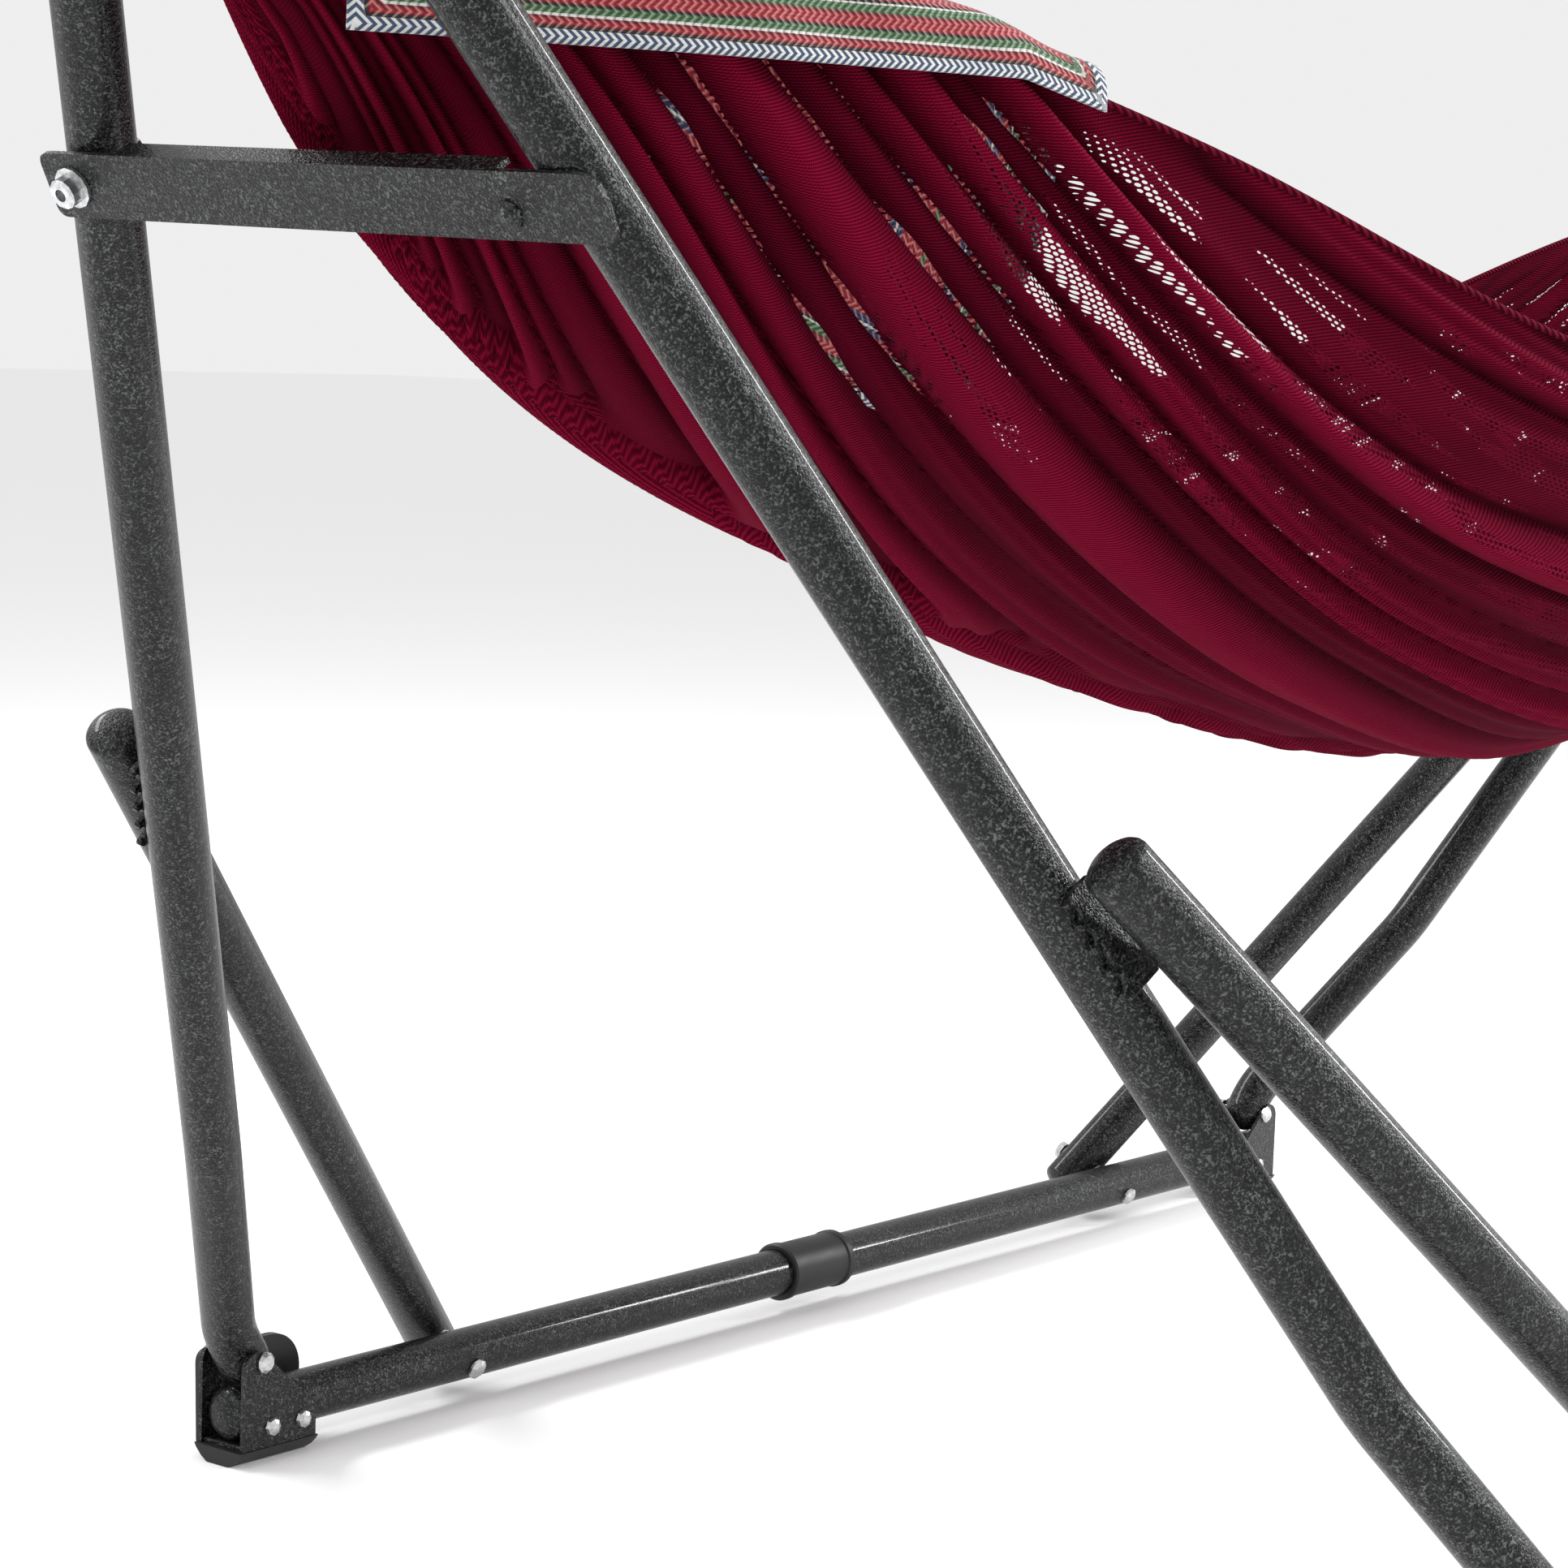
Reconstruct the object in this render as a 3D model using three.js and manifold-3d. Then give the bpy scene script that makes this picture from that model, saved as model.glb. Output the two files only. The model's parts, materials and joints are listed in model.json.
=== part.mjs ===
// Folding hammock stand with a gathered cotton hammock and a woven throw.
// Millimetres. +X runs along the stand, +Y across it, +Z up, origin on the floor under the middle.
import * as THREE from 'three';
import { mergeVertices } from 'three/addons/utils/BufferGeometryUtils.js';
import Module from 'manifold-3d';

const wasm = await Module();
wasm.setup();

// ---------- driving dimensions ----------
const TUBE_R = 17.5; // every structural tube is 35 mm across
const TUBE_WALL = 1.6;
const GAP = 0.3; // clearance between pieces that touch
const SIDES = 16; // facets around a tube

const RAIL_Y = 498; // half the distance between the two base rails
const RAIL_Z = 32;
const RAIL_END_X = 626; // where a rail tube ends, before its domed plug
const RAIL_JOINT_X = -18; // the two halves of a rail meet here
const COLLAR_LENGTH = 72;
const COLLAR_R = 21.5;
const SPIGOT_LENGTH = 150;

const PIVOT_X = 616; // foot pivot of an arm
const PIVOT_Z = 68.5;
const ARM_FOOT_TOP = [630, 496.4, 88]; // end of the upright foot of an arm
const ARM_KNEE = [730, 410, 236]; // slight bend above the foot
const ARM_TOP = [1202, 47, 1075];

const STRUT_X = 407; // foot pivot of a strut, measured on the rail
const STRUT_TILT = [0, 0.925, 0.38]; // pivot bolt direction on the far side
const STRUT_OFFSET = 37; // rail axis to strut axis along the bolt
const STRUT_DIR = [0.685, -0.277, 0.674];
const STRUT_LENGTH = 686; // pivot to the centre of the top end
const STRUT_TAIL = 22; // beyond the pivot
const DOME = 8; // height of a domed tube end
const PIN_DOWN = 56; // strut top to the pin that bears on the notched bracket
const PIN_OUT = 2.2; // how far the pin stands out of the strut

const PLATE = 3; // bracket steel
const PLATE_IN = TUBE_R + 0.6; // rail axis to the inner face of a bracket plate
const SADDLE_R = 34; // round underside of a foot, about the rail's axis
const SADDLE_NARROW = 0.82; // its width over its height
const CHEEK = 6; // outer side of a foot
const CHEEK_X = 568;
const CHEEK_TOP = 71;
const CHEEK_R = 26;
const BOLT_R = 4;
const HOLE_R = BOLT_R + GAP;

const BRACE_U = 871; // arm pivot to the brace bolt, seen from the side
const BRACE_HEIGHT = 35;
const BRACE_THICK = 3;
const BRACE_FLANGE = 11;
const BRACE_SLANT = 0.027; // radians; the bolted end is the higher one

const NOTCH_U = 466; // arm pivot to the middle of the notched bracket
const NOTCH_LENGTH = 60;

const EYE_X = 1200; // eye of a head
const EYE_Z = 1040;
const EYE_MAJOR = 17;
const EYE_MINOR = 4.5;
const GATHER_X = 1163; // where the hammock cloth is bundled
const GATHER_Z = 962;
const CLOTH = 6; // thickness of the plain hammock solid
const CLOTH_END_X = 1147;
const THROW_CLOTH = 5;
const THROW_X0 = -1105; // the throw covers the near edge between these two places
const THROW_X1 = -712;
const THROW_HEM_Z = 879;
const THROW_CREST = 15; // radius of the throw's fold over the edge

// ---------- finishes ----------
const POWDER = { color: 0x2b2d2e, roughness: 0.48, metalness: 0.55 };
const PLASTIC = { color: 0x101011, roughness: 0.55, metalness: 0.0 };
const ZINC = { color: 0xb9bcc0, roughness: 0.28, metalness: 1.0 };
const COTTON = { color: 0x5e0a22, roughness: 0.95, metalness: 0.0 };
const CORD = { color: 0xd8cfba, roughness: 0.95, metalness: 0.0 };
const SERAPE = { color: 0x9c1f2c, roughness: 0.95, metalness: 0.0 };

const group = new THREE.Group();
const vec = (p) => new THREE.Vector3(p[0], p[1], p[2]);

// ---------- solids ----------
function solid(geometry) {
  const bare = geometry.clone();
  bare.deleteAttribute('normal');
  bare.deleteAttribute('uv');
  const merged = mergeVertices(bare, 1e-4);
  const vertProperties = Float32Array.from(merged.attributes.position.array);
  const triVerts = Uint32Array.from(merged.index.array);
  return new wasm.Manifold(new wasm.Mesh({ numProp: 3, vertProperties, triVerts }));
}

function geometryOf(manifold) {
  const mesh = manifold.getMesh();
  const geometry = new THREE.BufferGeometry();
  geometry.setAttribute('position', new THREE.BufferAttribute(Float32Array.from(mesh.vertProperties), 3));
  geometry.setIndex(new THREE.BufferAttribute(Uint32Array.from(mesh.triVerts), 1));
  return geometry;
}

const join = (...parts) => geometryOf(parts.map(solid).reduce((a, b) => a.add(b)));
const cut = (body, ...tools) => geometryOf(tools.map(solid).reduce((a, b) => a.subtract(b), solid(body)));

// Turns a geometry made along +Y so that it runs from `from` along `dir`.
function aim(geometry, from, dir) {
  const turn = new THREE.Quaternion().setFromUnitVectors(new THREE.Vector3(0, 1, 0), vec(dir).normalize());
  geometry.applyQuaternion(turn);
  geometry.translate(from[0], from[1], from[2]);
  return geometry;
}

// Solid of revolution about `dir`, from a list of [radius, distance] points that starts and ends on the axis.
function turned(profile, from, dir, sides = SIDES) {
  const points = profile.map(([r, h]) => new THREE.Vector2(r, h));
  return aim(new THREE.LatheGeometry(points, sides), from, dir);
}

function rod(a, b, radius, sides = SIDES) {
  const dir = vec(b).sub(vec(a));
  const length = dir.length();
  return turned([[0, 0], [radius, 0], [radius, length], [0, length]], a, dir.toArray(), sides);
}

function ball(centre, radius, sides = SIDES) {
  const profile = [];
  const steps = sides / 2;
  for (let i = 0; i <= steps; i += 1) {
    const angle = -Math.PI / 2 + (Math.PI * i) / steps;
    profile.push([i === 0 || i === steps ? 0 : radius * Math.cos(angle), radius * Math.sin(angle)]);
  }
  return turned(profile, centre, [0, 1, 0], sides);
}

// Points of an elliptical end, from the rim to the axis.
function domeProfile(radius, height, base) {
  const points = [];
  const steps = 3;
  for (let i = 0; i <= steps; i += 1) {
    const angle = (Math.PI / 2) * (i / steps);
    points.push([i === steps ? 0 : radius * Math.cos(angle), base + height * Math.sin(angle)]);
  }
  return points;
}

function ring(centre, major, minor, dir, sides = 8, around = 16) {
  const profile = [];
  for (let i = 0; i <= sides; i += 1) {
    const angle = (2 * Math.PI * (i % sides)) / sides;
    profile.push([major + minor * Math.cos(angle), minor * Math.sin(angle)]);
  }
  return turned(profile, centre, dir, around);
}

// Flat plate with an outline in (x, z), spanning y0 to y1.
function plate(shape, y0, y1, curveSegments = 4) {
  const geometry = new THREE.ExtrudeGeometry(shape, { depth: y1 - y0, bevelEnabled: false, curveSegments });
  geometry.rotateX(Math.PI / 2);
  geometry.translate(0, y1, 0);
  return geometry;
}

function box(x0, x1, y0, y1, z0, z1) {
  const geometry = new THREE.BoxGeometry(x1 - x0, y1 - y0, z1 - z0);
  geometry.translate((x0 + x1) / 2, (y0 + y1) / 2, (z0 + z1) / 2);
  return geometry;
}

// A copy mirrored to the end sx (-1 left, 1 right) and the side sy (-1 near, 1 far).
function mirrored(geometry, sx, sy) {
  const copy = geometry.index ? geometry.clone() : mergeVertices(geometry.clone());
  copy.deleteAttribute('normal');
  copy.deleteAttribute('uv');
  copy.scale(sx, sy, 1);
  if (sx * sy < 0) {
    const index = copy.index.array;
    for (let i = 0; i < index.length; i += 3) {
      const swap = index[i];
      index[i] = index[i + 1];
      index[i + 1] = swap;
    }
  }
  return copy;
}

function place(name, geometry, finish) {
  geometry.computeVertexNormals();
  const mesh = new THREE.Mesh(geometry, new THREE.MeshStandardMaterial(finish));
  mesh.name = name;
  group.add(mesh);
}

// ---------- quadrant pieces, modelled at +X, +Y ----------
const pivot = [PIVOT_X, RAIL_Y, PIVOT_Z];
const along = (from, dir, t) => vec(from).addScaledVector(vec(dir), t).toArray();
const strutPivot = along([STRUT_X, RAIL_Y, RAIL_Z], STRUT_TILT, STRUT_OFFSET);
const armUp = vec(ARM_TOP).sub(vec(ARM_KNEE)).normalize();
const across = new THREE.Vector3(0, 1, 0);
const armSide = new THREE.Vector3(armUp.x, 0, armUp.z).normalize(); // arm direction seen from the side
const outward = new THREE.Vector3(armSide.z, 0, -armSide.x); // faces away from the hammock

// Point on the straight part of an arm at side distance u from its pivot.
function armPoint(u) {
  const knee = vec(ARM_KNEE);
  const kneeU = knee.clone().sub(vec(pivot)).dot(armSide);
  const slope = armUp.dot(armSide);
  return knee.addScaledVector(armUp, (u - kneeU) / slope);
}

// The point b, moved on from a by a small distance.
function extended(a, b, more) {
  const dir = vec(b).sub(vec(a)).normalize();
  return vec(b).addScaledVector(dir, more).toArray();
}

function arm() {
  const bore = rod([PIVOT_X, RAIL_Y - 40, PIVOT_Z], [PIVOT_X, RAIL_Y + 40, PIVOT_Z], HOLE_R, 10);
  const braceAt = armPoint(BRACE_U);
  const braceBore = rod(
    braceAt.clone().addScaledVector(outward, -40).toArray(),
    braceAt.clone().addScaledVector(outward, 40).toArray(),
    HOLE_R,
    10,
  );
  const knee = vec(ARM_KNEE);
  const body = join(
    ball(pivot, TUBE_R - 0.2),
    rod(pivot, extended(pivot, ARM_FOOT_TOP, 4), TUBE_R),
    rod(extended(ARM_KNEE, ARM_FOOT_TOP, 4), extended(ARM_FOOT_TOP, ARM_KNEE, 1), TUBE_R),
    rod(knee.toArray(), ARM_TOP, TUBE_R),
  );
  return { bored: cut(body, bore, braceBore), plain: cut(body, bore) };
}

function strut() {
  const base = -STRUT_TAIL;
  const down = domeProfile(TUBE_R, DOME, 0).map(([r, h]) => [r, base - h]).reverse();
  const up = domeProfile(TUBE_R, DOME, STRUT_LENGTH);
  const body = turned([...down, ...up], strutPivot, STRUT_DIR);
  const bore = rod(along(strutPivot, STRUT_TILT, -30), along(strutPivot, STRUT_TILT, 30), HOLE_R, 10);
  const pinAt = along(strutPivot, STRUT_DIR, STRUT_LENGTH - PIN_DOWN);
  const pin = rod(pinAt, along(pinAt, STRUT_TILT, -TUBE_R - PIN_OUT), 5, 10);
  return cut(join(body, pin), bore);
}

// Bolt through the rail and the strut, with a spacer washer between the two tubes.
function strutBolt() {
  const head = TUBE_R + GAP;
  const gapIn = TUBE_R + GAP;
  const gapOut = STRUT_OFFSET - TUBE_R - GAP;
  const nut = STRUT_OFFSET + TUBE_R + GAP;
  const profile = [
    [0, -head - 4.5], [4.5, -head - 4], [7.5, -head - 2], [7.5, -head], [BOLT_R, -head],
    [BOLT_R, gapIn], [8, gapIn], [8, gapOut], [BOLT_R, gapOut],
    [BOLT_R, nut], [7.5, nut], [7.5, nut + 5], [0, nut + 6],
  ];
  return turned(profile, [STRUT_X, RAIL_Y, RAIL_Z], STRUT_TILT, 10);
}

function footBracket() {
  const outline = new THREE.Shape();
  outline.moveTo(568, 11.2);
  outline.lineTo(634, 11.2);
  outline.lineTo(634, PIVOT_Z - 3);
  outline.absarc(PIVOT_X + 7, PIVOT_Z - 3, 11, 0, Math.PI * 0.72, false);
  outline.lineTo(568, 32);
  outline.closePath();
  const inner = plate(outline, RAIL_Y - PLATE_IN - PLATE, RAIL_Y - PLATE_IN);
  const outer = plate(outline, RAIL_Y + PLATE_IN, RAIL_Y + PLATE_IN + PLATE);
  const web = box(572, 632, RAIL_Y - PLATE_IN - 1, RAIL_Y + PLATE_IN + 1, 11.2, RAIL_Z - TUBE_R - GAP);
  const bore = rod([PIVOT_X, RAIL_Y - 60, PIVOT_Z], [PIVOT_X, RAIL_Y + 60, PIVOT_Z], HOLE_R, 10);
  const holes = bracketScrewPlaces().map(([x, z]) => rod([x, RAIL_Y - 40, z], [x, RAIL_Y, z], 3 + GAP, 8));
  return cut(join(inner, outer, web), bore, ...holes);
}

const bracketScrewPlaces = () => [[608, 24], [580, 24]];

// Pan-head screw in the inner plate of a foot bracket.
function bracketScrew([x, z]) {
  const face = PLATE_IN + PLATE + GAP;
  const profile = [[0, -PLATE - 0.7], [3, -PLATE - 0.7], [3, 0], [6.4, 0], [5.6, 2.2], [3, 3.4], [0, 3.6]];
  return turned(profile, [x, RAIL_Y - face, z], [0, -1, 0], 8);
}

// Plastic foot: a round-bottomed saddle under the bracket, flat where it stands, and a cheek with a round top.
function footPad() {
  const start = 566;
  const end = 637;
  const floorCut = box(start - 5, end + 5, RAIL_Y - 60, RAIL_Y + 60, -20, 0);
  const seat = box(start - 5, end + 5, RAIL_Y - 60, RAIL_Y + 60, 11.2 - GAP, 90);
  const round = rod([start, 0, RAIL_Z], [end, 0, RAIL_Z], SADDLE_R, 32);
  round.scale(1, SADDLE_NARROW, 1);
  round.translate(0, RAIL_Y, 0);
  const saddle = cut(round, floorCut, seat);
  const cheek = new THREE.Shape();
  cheek.moveTo(CHEEK_X, 8);
  cheek.lineTo(630, 8);
  cheek.lineTo(632, 62);
  cheek.quadraticCurveTo(632, CHEEK_TOP, 622, CHEEK_TOP);
  cheek.lineTo(CHEEK_X, CHEEK_TOP);
  cheek.absarc(CHEEK_X, CHEEK_TOP - CHEEK_R, CHEEK_R, Math.PI / 2, Math.PI * 1.2, false);
  cheek.closePath();
  const side = RAIL_Y + PLATE_IN + PLATE + GAP;
  const nutRoom = rod([PIVOT_X, RAIL_Y + 20, PIVOT_Z], [PIVOT_X, RAIL_Y + 60, PIVOT_Z], 9.5, 12);
  const body = join(saddle, plate(cheek, side, side + CHEEK, 8));
  return cut(body, nutRoom);
}

// Bolt along +Y through a bracket and the foot of an arm.
function pivotBolt() {
  const face = PLATE_IN + PLATE + GAP;
  const profile = [
    [0, -face - 3.8], [5, -face - 3.2], [7.2, -face - 1.4], [7.2, -face], [BOLT_R, -face],
    [BOLT_R, face], [7, face], [7, face + 5], [0, face + 5.5],
  ];
  return turned(profile, pivot, [0, 1, 0], 10);
}

function endPlug() {
  const start = -16;
  const bore = TUBE_R - TUBE_WALL - GAP;
  const profile = [[0, start], [bore, start], [bore, GAP], ...domeProfile(TUBE_R, DOME, GAP)];
  return turned(profile, [RAIL_END_X, RAIL_Y, RAIL_Z], [1, 0, 0]);
}

// Bracket with a row of hooked notches on the outer side of an arm, open towards the strut's pin.
function notchBracket() {
  const teeth = 4;
  const pitch = NOTCH_LENGTH / (teeth + 0.5);
  const shape = new THREE.Shape();
  shape.moveTo(-NOTCH_LENGTH / 2, -16);
  shape.lineTo(NOTCH_LENGTH / 2, -16);
  shape.lineTo(NOTCH_LENGTH / 2, 6);
  for (let i = 0; i < teeth; i += 1) {
    const start = NOTCH_LENGTH / 2 - 3 - i * pitch;
    shape.lineTo(start, 13);
    shape.absarc(start - pitch / 2, 11, pitch / 2 - 2.2, 0.15, -Math.PI - 0.15, true);
  }
  shape.lineTo(-NOTCH_LENGTH / 2, 13);
  shape.closePath();
  const thickness = 4;
  const geometry = new THREE.ExtrudeGeometry(shape, { depth: thickness, bevelEnabled: false, curveSegments: 3 });
  // local x along the arm, local y towards the hammock side, local z outboard
  const along3 = armUp.clone();
  const side = across.clone().addScaledVector(along3, -across.dot(along3)).normalize();
  const inward = new THREE.Vector3().crossVectors(side, along3).normalize();
  const at = armPoint(NOTCH_U).addScaledVector(side, TUBE_R + GAP);
  const frame = new THREE.Matrix4().makeBasis(along3, inward, side);
  frame.setPosition(at);
  geometry.applyMatrix4(frame);
  return geometry;
}

// ---------- pieces across one end, modelled at the +X end ----------

// Cross brace: a flanged strap outside both arms, bolted to the far one and riveted to the near one.
function brace() {
  const far = armPoint(BRACE_U);
  const half = BRACE_HEIGHT / 2;
  const reach = far.y;
  const face = TUBE_R + 1.2;
  const near = -reach - 30;
  const strap = new THREE.Shape();
  strap.moveTo(near + 9, -half);
  strap.lineTo(reach + 12, -half);
  strap.quadraticCurveTo(reach + 19, -half, reach + 19, -half + 7);
  strap.lineTo(reach + 19, half - 7);
  strap.quadraticCurveTo(reach + 19, half, reach + 12, half);
  strap.lineTo(near + 16, half);
  strap.quadraticCurveTo(near, half, near, half - 16);
  strap.lineTo(near, -half + 9);
  strap.quadraticCurveTo(near, -half, near + 9, -half);
  strap.closePath();
  const slab = new THREE.ExtrudeGeometry(strap, { depth: BRACE_THICK, bevelEnabled: false, curveSegments: 5 });
  const inner = reach - 34;
  const flange = (z) => {
    const bar = new THREE.BoxGeometry(2 * inner, BRACE_THICK, BRACE_FLANGE + BRACE_THICK);
    bar.translate(0, z, -(BRACE_FLANGE + BRACE_THICK) / 2 + BRACE_THICK);
    return bar;
  };
  const rivet = turned([[0, 0], [8, 0], [7.4, 3], [4.5, 5.4], [0, 6.2]], [-reach + 30, -4, 1], [0, 0, 1], 10);
  const hole = turned([[0, -10], [HOLE_R, -10], [HOLE_R, 10], [0, 10]], [reach, 0, 0], [0, 0, 1], 10);
  const parts = join(slab, flange(half - BRACE_THICK / 2), flange(-half + BRACE_THICK / 2), rivet);
  const body = cut(parts, hole);
  body.translate(-reach, 0, 0);
  body.rotateZ(BRACE_SLANT);
  body.translate(reach, 0, 0);
  // local x across the stand, local y up the arms, local z outward
  const frame = new THREE.Matrix4().makeBasis(across, armSide, outward);
  const middle = armSide.clone().multiplyScalar(BRACE_U).add(vec([PIVOT_X, 0, PIVOT_Z]));
  const kneeShift = armPoint(BRACE_U).sub(middle).dot(outward);
  middle.addScaledVector(outward, kneeShift + face);
  frame.setPosition(middle);
  return body.applyMatrix4(frame);
}

// Bolt through the brace and the far arm.
function braceBolt() {
  const at = armPoint(BRACE_U);
  const face = TUBE_R + 1.2 + BRACE_THICK + GAP;
  const profile = [
    [0, -TUBE_R - 7], [BOLT_R, -TUBE_R - 6], [7, -TUBE_R - 5], [7, -TUBE_R - GAP], [BOLT_R, -TUBE_R - GAP],
    [BOLT_R, face], [11, face], [11, face + 2], [8, face + 2.2], [8, face + 9], [6.8, face + 10.4],
    [3.4, face + 10.4], [3.4, face + 5], [0, face + 5],
  ];
  return turned(profile, at.toArray(), outward.toArray(), 12);
}

// Head of a V frame: two closed sleeves, a cross bar and the eye that the hammock hooks into.
function head() {
  const sleeveR = TUBE_R + 3.2;
  const upArm = (t) => vec(ARM_TOP).addScaledVector(armUp, t).toArray();
  const sleeve = rod(upArm(-62), upArm(8), sleeveR);
  const bore = rod(upArm(-67), upArm(0.4), TUBE_R + GAP);
  const middle = vec(ARM_TOP).addScaledVector(armUp, -14);
  const bar = rod([middle.x, -middle.y, middle.z], [middle.x, middle.y, middle.z], 9, 12);
  const eye = ring([EYE_X, 0, EYE_Z], EYE_MAJOR, EYE_MINOR, [0, 1, 0]);
  const body = join(sleeve, mirrored(sleeve, 1, -1), bar, eye);
  return cut(body, bore, mirrored(bore, 1, -1));
}

const hang = new THREE.Vector3(GATHER_X - EYE_X, 0, GATHER_Z - EYE_Z).normalize();

// Closed link through the head's eye, in the plane of +Y and the hanging direction.
function carabiner() {
  const half = 24;
  const width = 15;
  const centre = new THREE.Vector3(EYE_X, 0, EYE_Z).addScaledVector(hang, 32);
  const at = (a, b) => centre.clone().addScaledVector(hang, a).addScaledVector(across, b);
  const corners = [];
  const turns = 10;
  for (let i = 0; i < turns; i += 1) {
    const angle = (2 * Math.PI * i) / turns;
    const stretch = Math.cos(angle) > 0 ? half - width : width - half;
    corners.push(at(stretch + width * Math.cos(angle), width * Math.sin(angle)));
  }
  const path = new THREE.CatmullRomCurve3(corners, true);
  const section = new THREE.Shape();
  section.absarc(0, 0, 3.6, 0, 2 * Math.PI, false);
  return new THREE.ExtrudeGeometry(section, { steps: 28, extrudePath: path, curveSegments: 3 });
}

// Eye of the hammock's end cord and the whipped neck that gathers the cloth.
function endCord() {
  const eyeAt = new THREE.Vector3(EYE_X, 0, EYE_Z).addScaledVector(hang, 60);
  const loop = ring(eyeAt.toArray(), 13, 5, [0, 1, 0], 6, 14);
  const neckStart = eyeAt.clone().addScaledVector(hang, 11);
  const neck = turned(
    [[0, 0], [8, 0], [11, 6], [12, 18], [15, 26], [0, 26]],
    neckStart.toArray(),
    hang.toArray(),
    12,
  );
  return join(loop, neck);
}

// ---------- hammock cloth ----------

// Lowest line, edge line and half width of the cloth at distance x from the middle.
const clothBottom = new THREE.SplineCurve([
  new THREE.Vector2(-330, 530), new THREE.Vector2(0, 478), new THREE.Vector2(330, 530), new THREE.Vector2(620, 616),
  new THREE.Vector2(870, 706), new THREE.Vector2(1010, 792), new THREE.Vector2(1150, 930),
]);
const clothEdge = new THREE.SplineCurve([
  new THREE.Vector2(-330, 758), new THREE.Vector2(0, 715), new THREE.Vector2(330, 758), new THREE.Vector2(620, 850),
  new THREE.Vector2(870, 915), new THREE.Vector2(1010, 938), new THREE.Vector2(1150, 956),
]);
const clothHalf = new THREE.SplineCurve([
  new THREE.Vector2(-330, 278), new THREE.Vector2(0, 300), new THREE.Vector2(330, 278), new THREE.Vector2(620, 215),
  new THREE.Vector2(870, 142), new THREE.Vector2(1010, 88), new THREE.Vector2(1150, 16),
]);

// Value of one of these lines at x, by its even spacing in the spline's own parameter.
function heightAt(curve, x) {
  let low = 0;
  let high = 1;
  for (let i = 0; i < 30; i += 1) {
    const mid = (low + high) / 2;
    if (curve.getPoint(mid).x < x) low = mid;
    else high = mid;
  }
  return curve.getPoint(low).y;
}

// Middle surface of the cloth; angle 0 is the bottom, -90 and 90 degrees are its edges.
function clothPoint(x, angle) {
  const far = Math.abs(x);
  const edge = heightAt(clothEdge, far);
  const depth = edge - heightAt(clothBottom, far);
  return new THREE.Vector3(x, heightAt(clothHalf, far) * Math.sin(angle), edge - depth * Math.cos(angle));
}

function clothNormal(x, angle) {
  const dx = clothPoint(x + 1, angle).sub(clothPoint(x - 1, angle));
  const da = clothPoint(x, angle + 0.01).sub(clothPoint(x, angle - 0.01));
  return new THREE.Vector3().crossVectors(da, dx).normalize();
}

// Closed slab between two grids of points, `outer` and `inner`, each rows x columns.
function slab(outer, inner) {
  const rows = outer.length;
  const columns = outer[0].length;
  const positions = [...outer.flat(), ...inner.flat()].flatMap((p) => p.toArray());
  const o = (r, c) => r * columns + c;
  const n = (r, c) => rows * columns + r * columns + c;
  const index = [];
  const quad = (a, b, c, d) => index.push(a, b, c, a, c, d);
  for (let r = 0; r < rows - 1; r += 1) {
    for (let c = 0; c < columns - 1; c += 1) {
      quad(o(r, c), o(r + 1, c), o(r + 1, c + 1), o(r, c + 1));
      quad(n(r, c), n(r, c + 1), n(r + 1, c + 1), n(r + 1, c));
    }
  }
  for (let r = 0; r < rows - 1; r += 1) {
    quad(o(r, 0), n(r, 0), n(r + 1, 0), o(r + 1, 0));
    quad(o(r + 1, columns - 1), n(r + 1, columns - 1), n(r, columns - 1), o(r, columns - 1));
  }
  for (let c = 0; c < columns - 1; c += 1) {
    quad(o(0, c + 1), n(0, c + 1), n(0, c), o(0, c));
    quad(o(rows - 1, c), n(rows - 1, c), n(rows - 1, c + 1), o(rows - 1, c + 1));
  }
  const geometry = new THREE.BufferGeometry();
  geometry.setAttribute('position', new THREE.Float32BufferAttribute(positions, 3));
  geometry.setIndex(index);
  return facingOut(geometry);
}

// Turns a closed mesh's faces outward if its signed volume is negative.
function facingOut(geometry) {
  const p = geometry.attributes.position;
  const index = geometry.index.array;
  const corner = (i) => new THREE.Vector3().fromBufferAttribute(p, index[i]);
  let volume = 0;
  for (let i = 0; i < index.length; i += 3) volume += corner(i).dot(corner(i + 1).cross(corner(i + 2)));
  if (volume < 0) {
    for (let i = 0; i < index.length; i += 3) [index[i], index[i + 1]] = [index[i + 1], index[i]];
  }
  return geometry;
}

function hammock() {
  const rows = 26;
  const columns = 10;
  const outer = [];
  const inner = [];
  for (let r = 0; r <= rows; r += 1) {
    const x = CLOTH_END_X * Math.sin((Math.PI / 2) * ((2 * r) / rows - 1));
    const line = { outer: [], inner: [] };
    for (let c = 0; c <= columns; c += 1) {
      const angle = (Math.PI / 2) * ((2 * c) / columns - 1);
      const normal = clothNormal(x * 0.999, angle);
      normal.x = 0;
      normal.normalize();
      line.outer.push(clothPoint(x, angle).addScaledVector(normal, CLOTH / 2));
      line.inner.push(clothPoint(x, angle).addScaledVector(normal, -CLOTH / 2));
    }
    outer.push(line.outer);
    inner.push(line.inner);
  }
  return slab(outer, inner);
}

// Throw over the near edge at the left end: a flap outside, a rounded crest and a flap inside.

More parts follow.
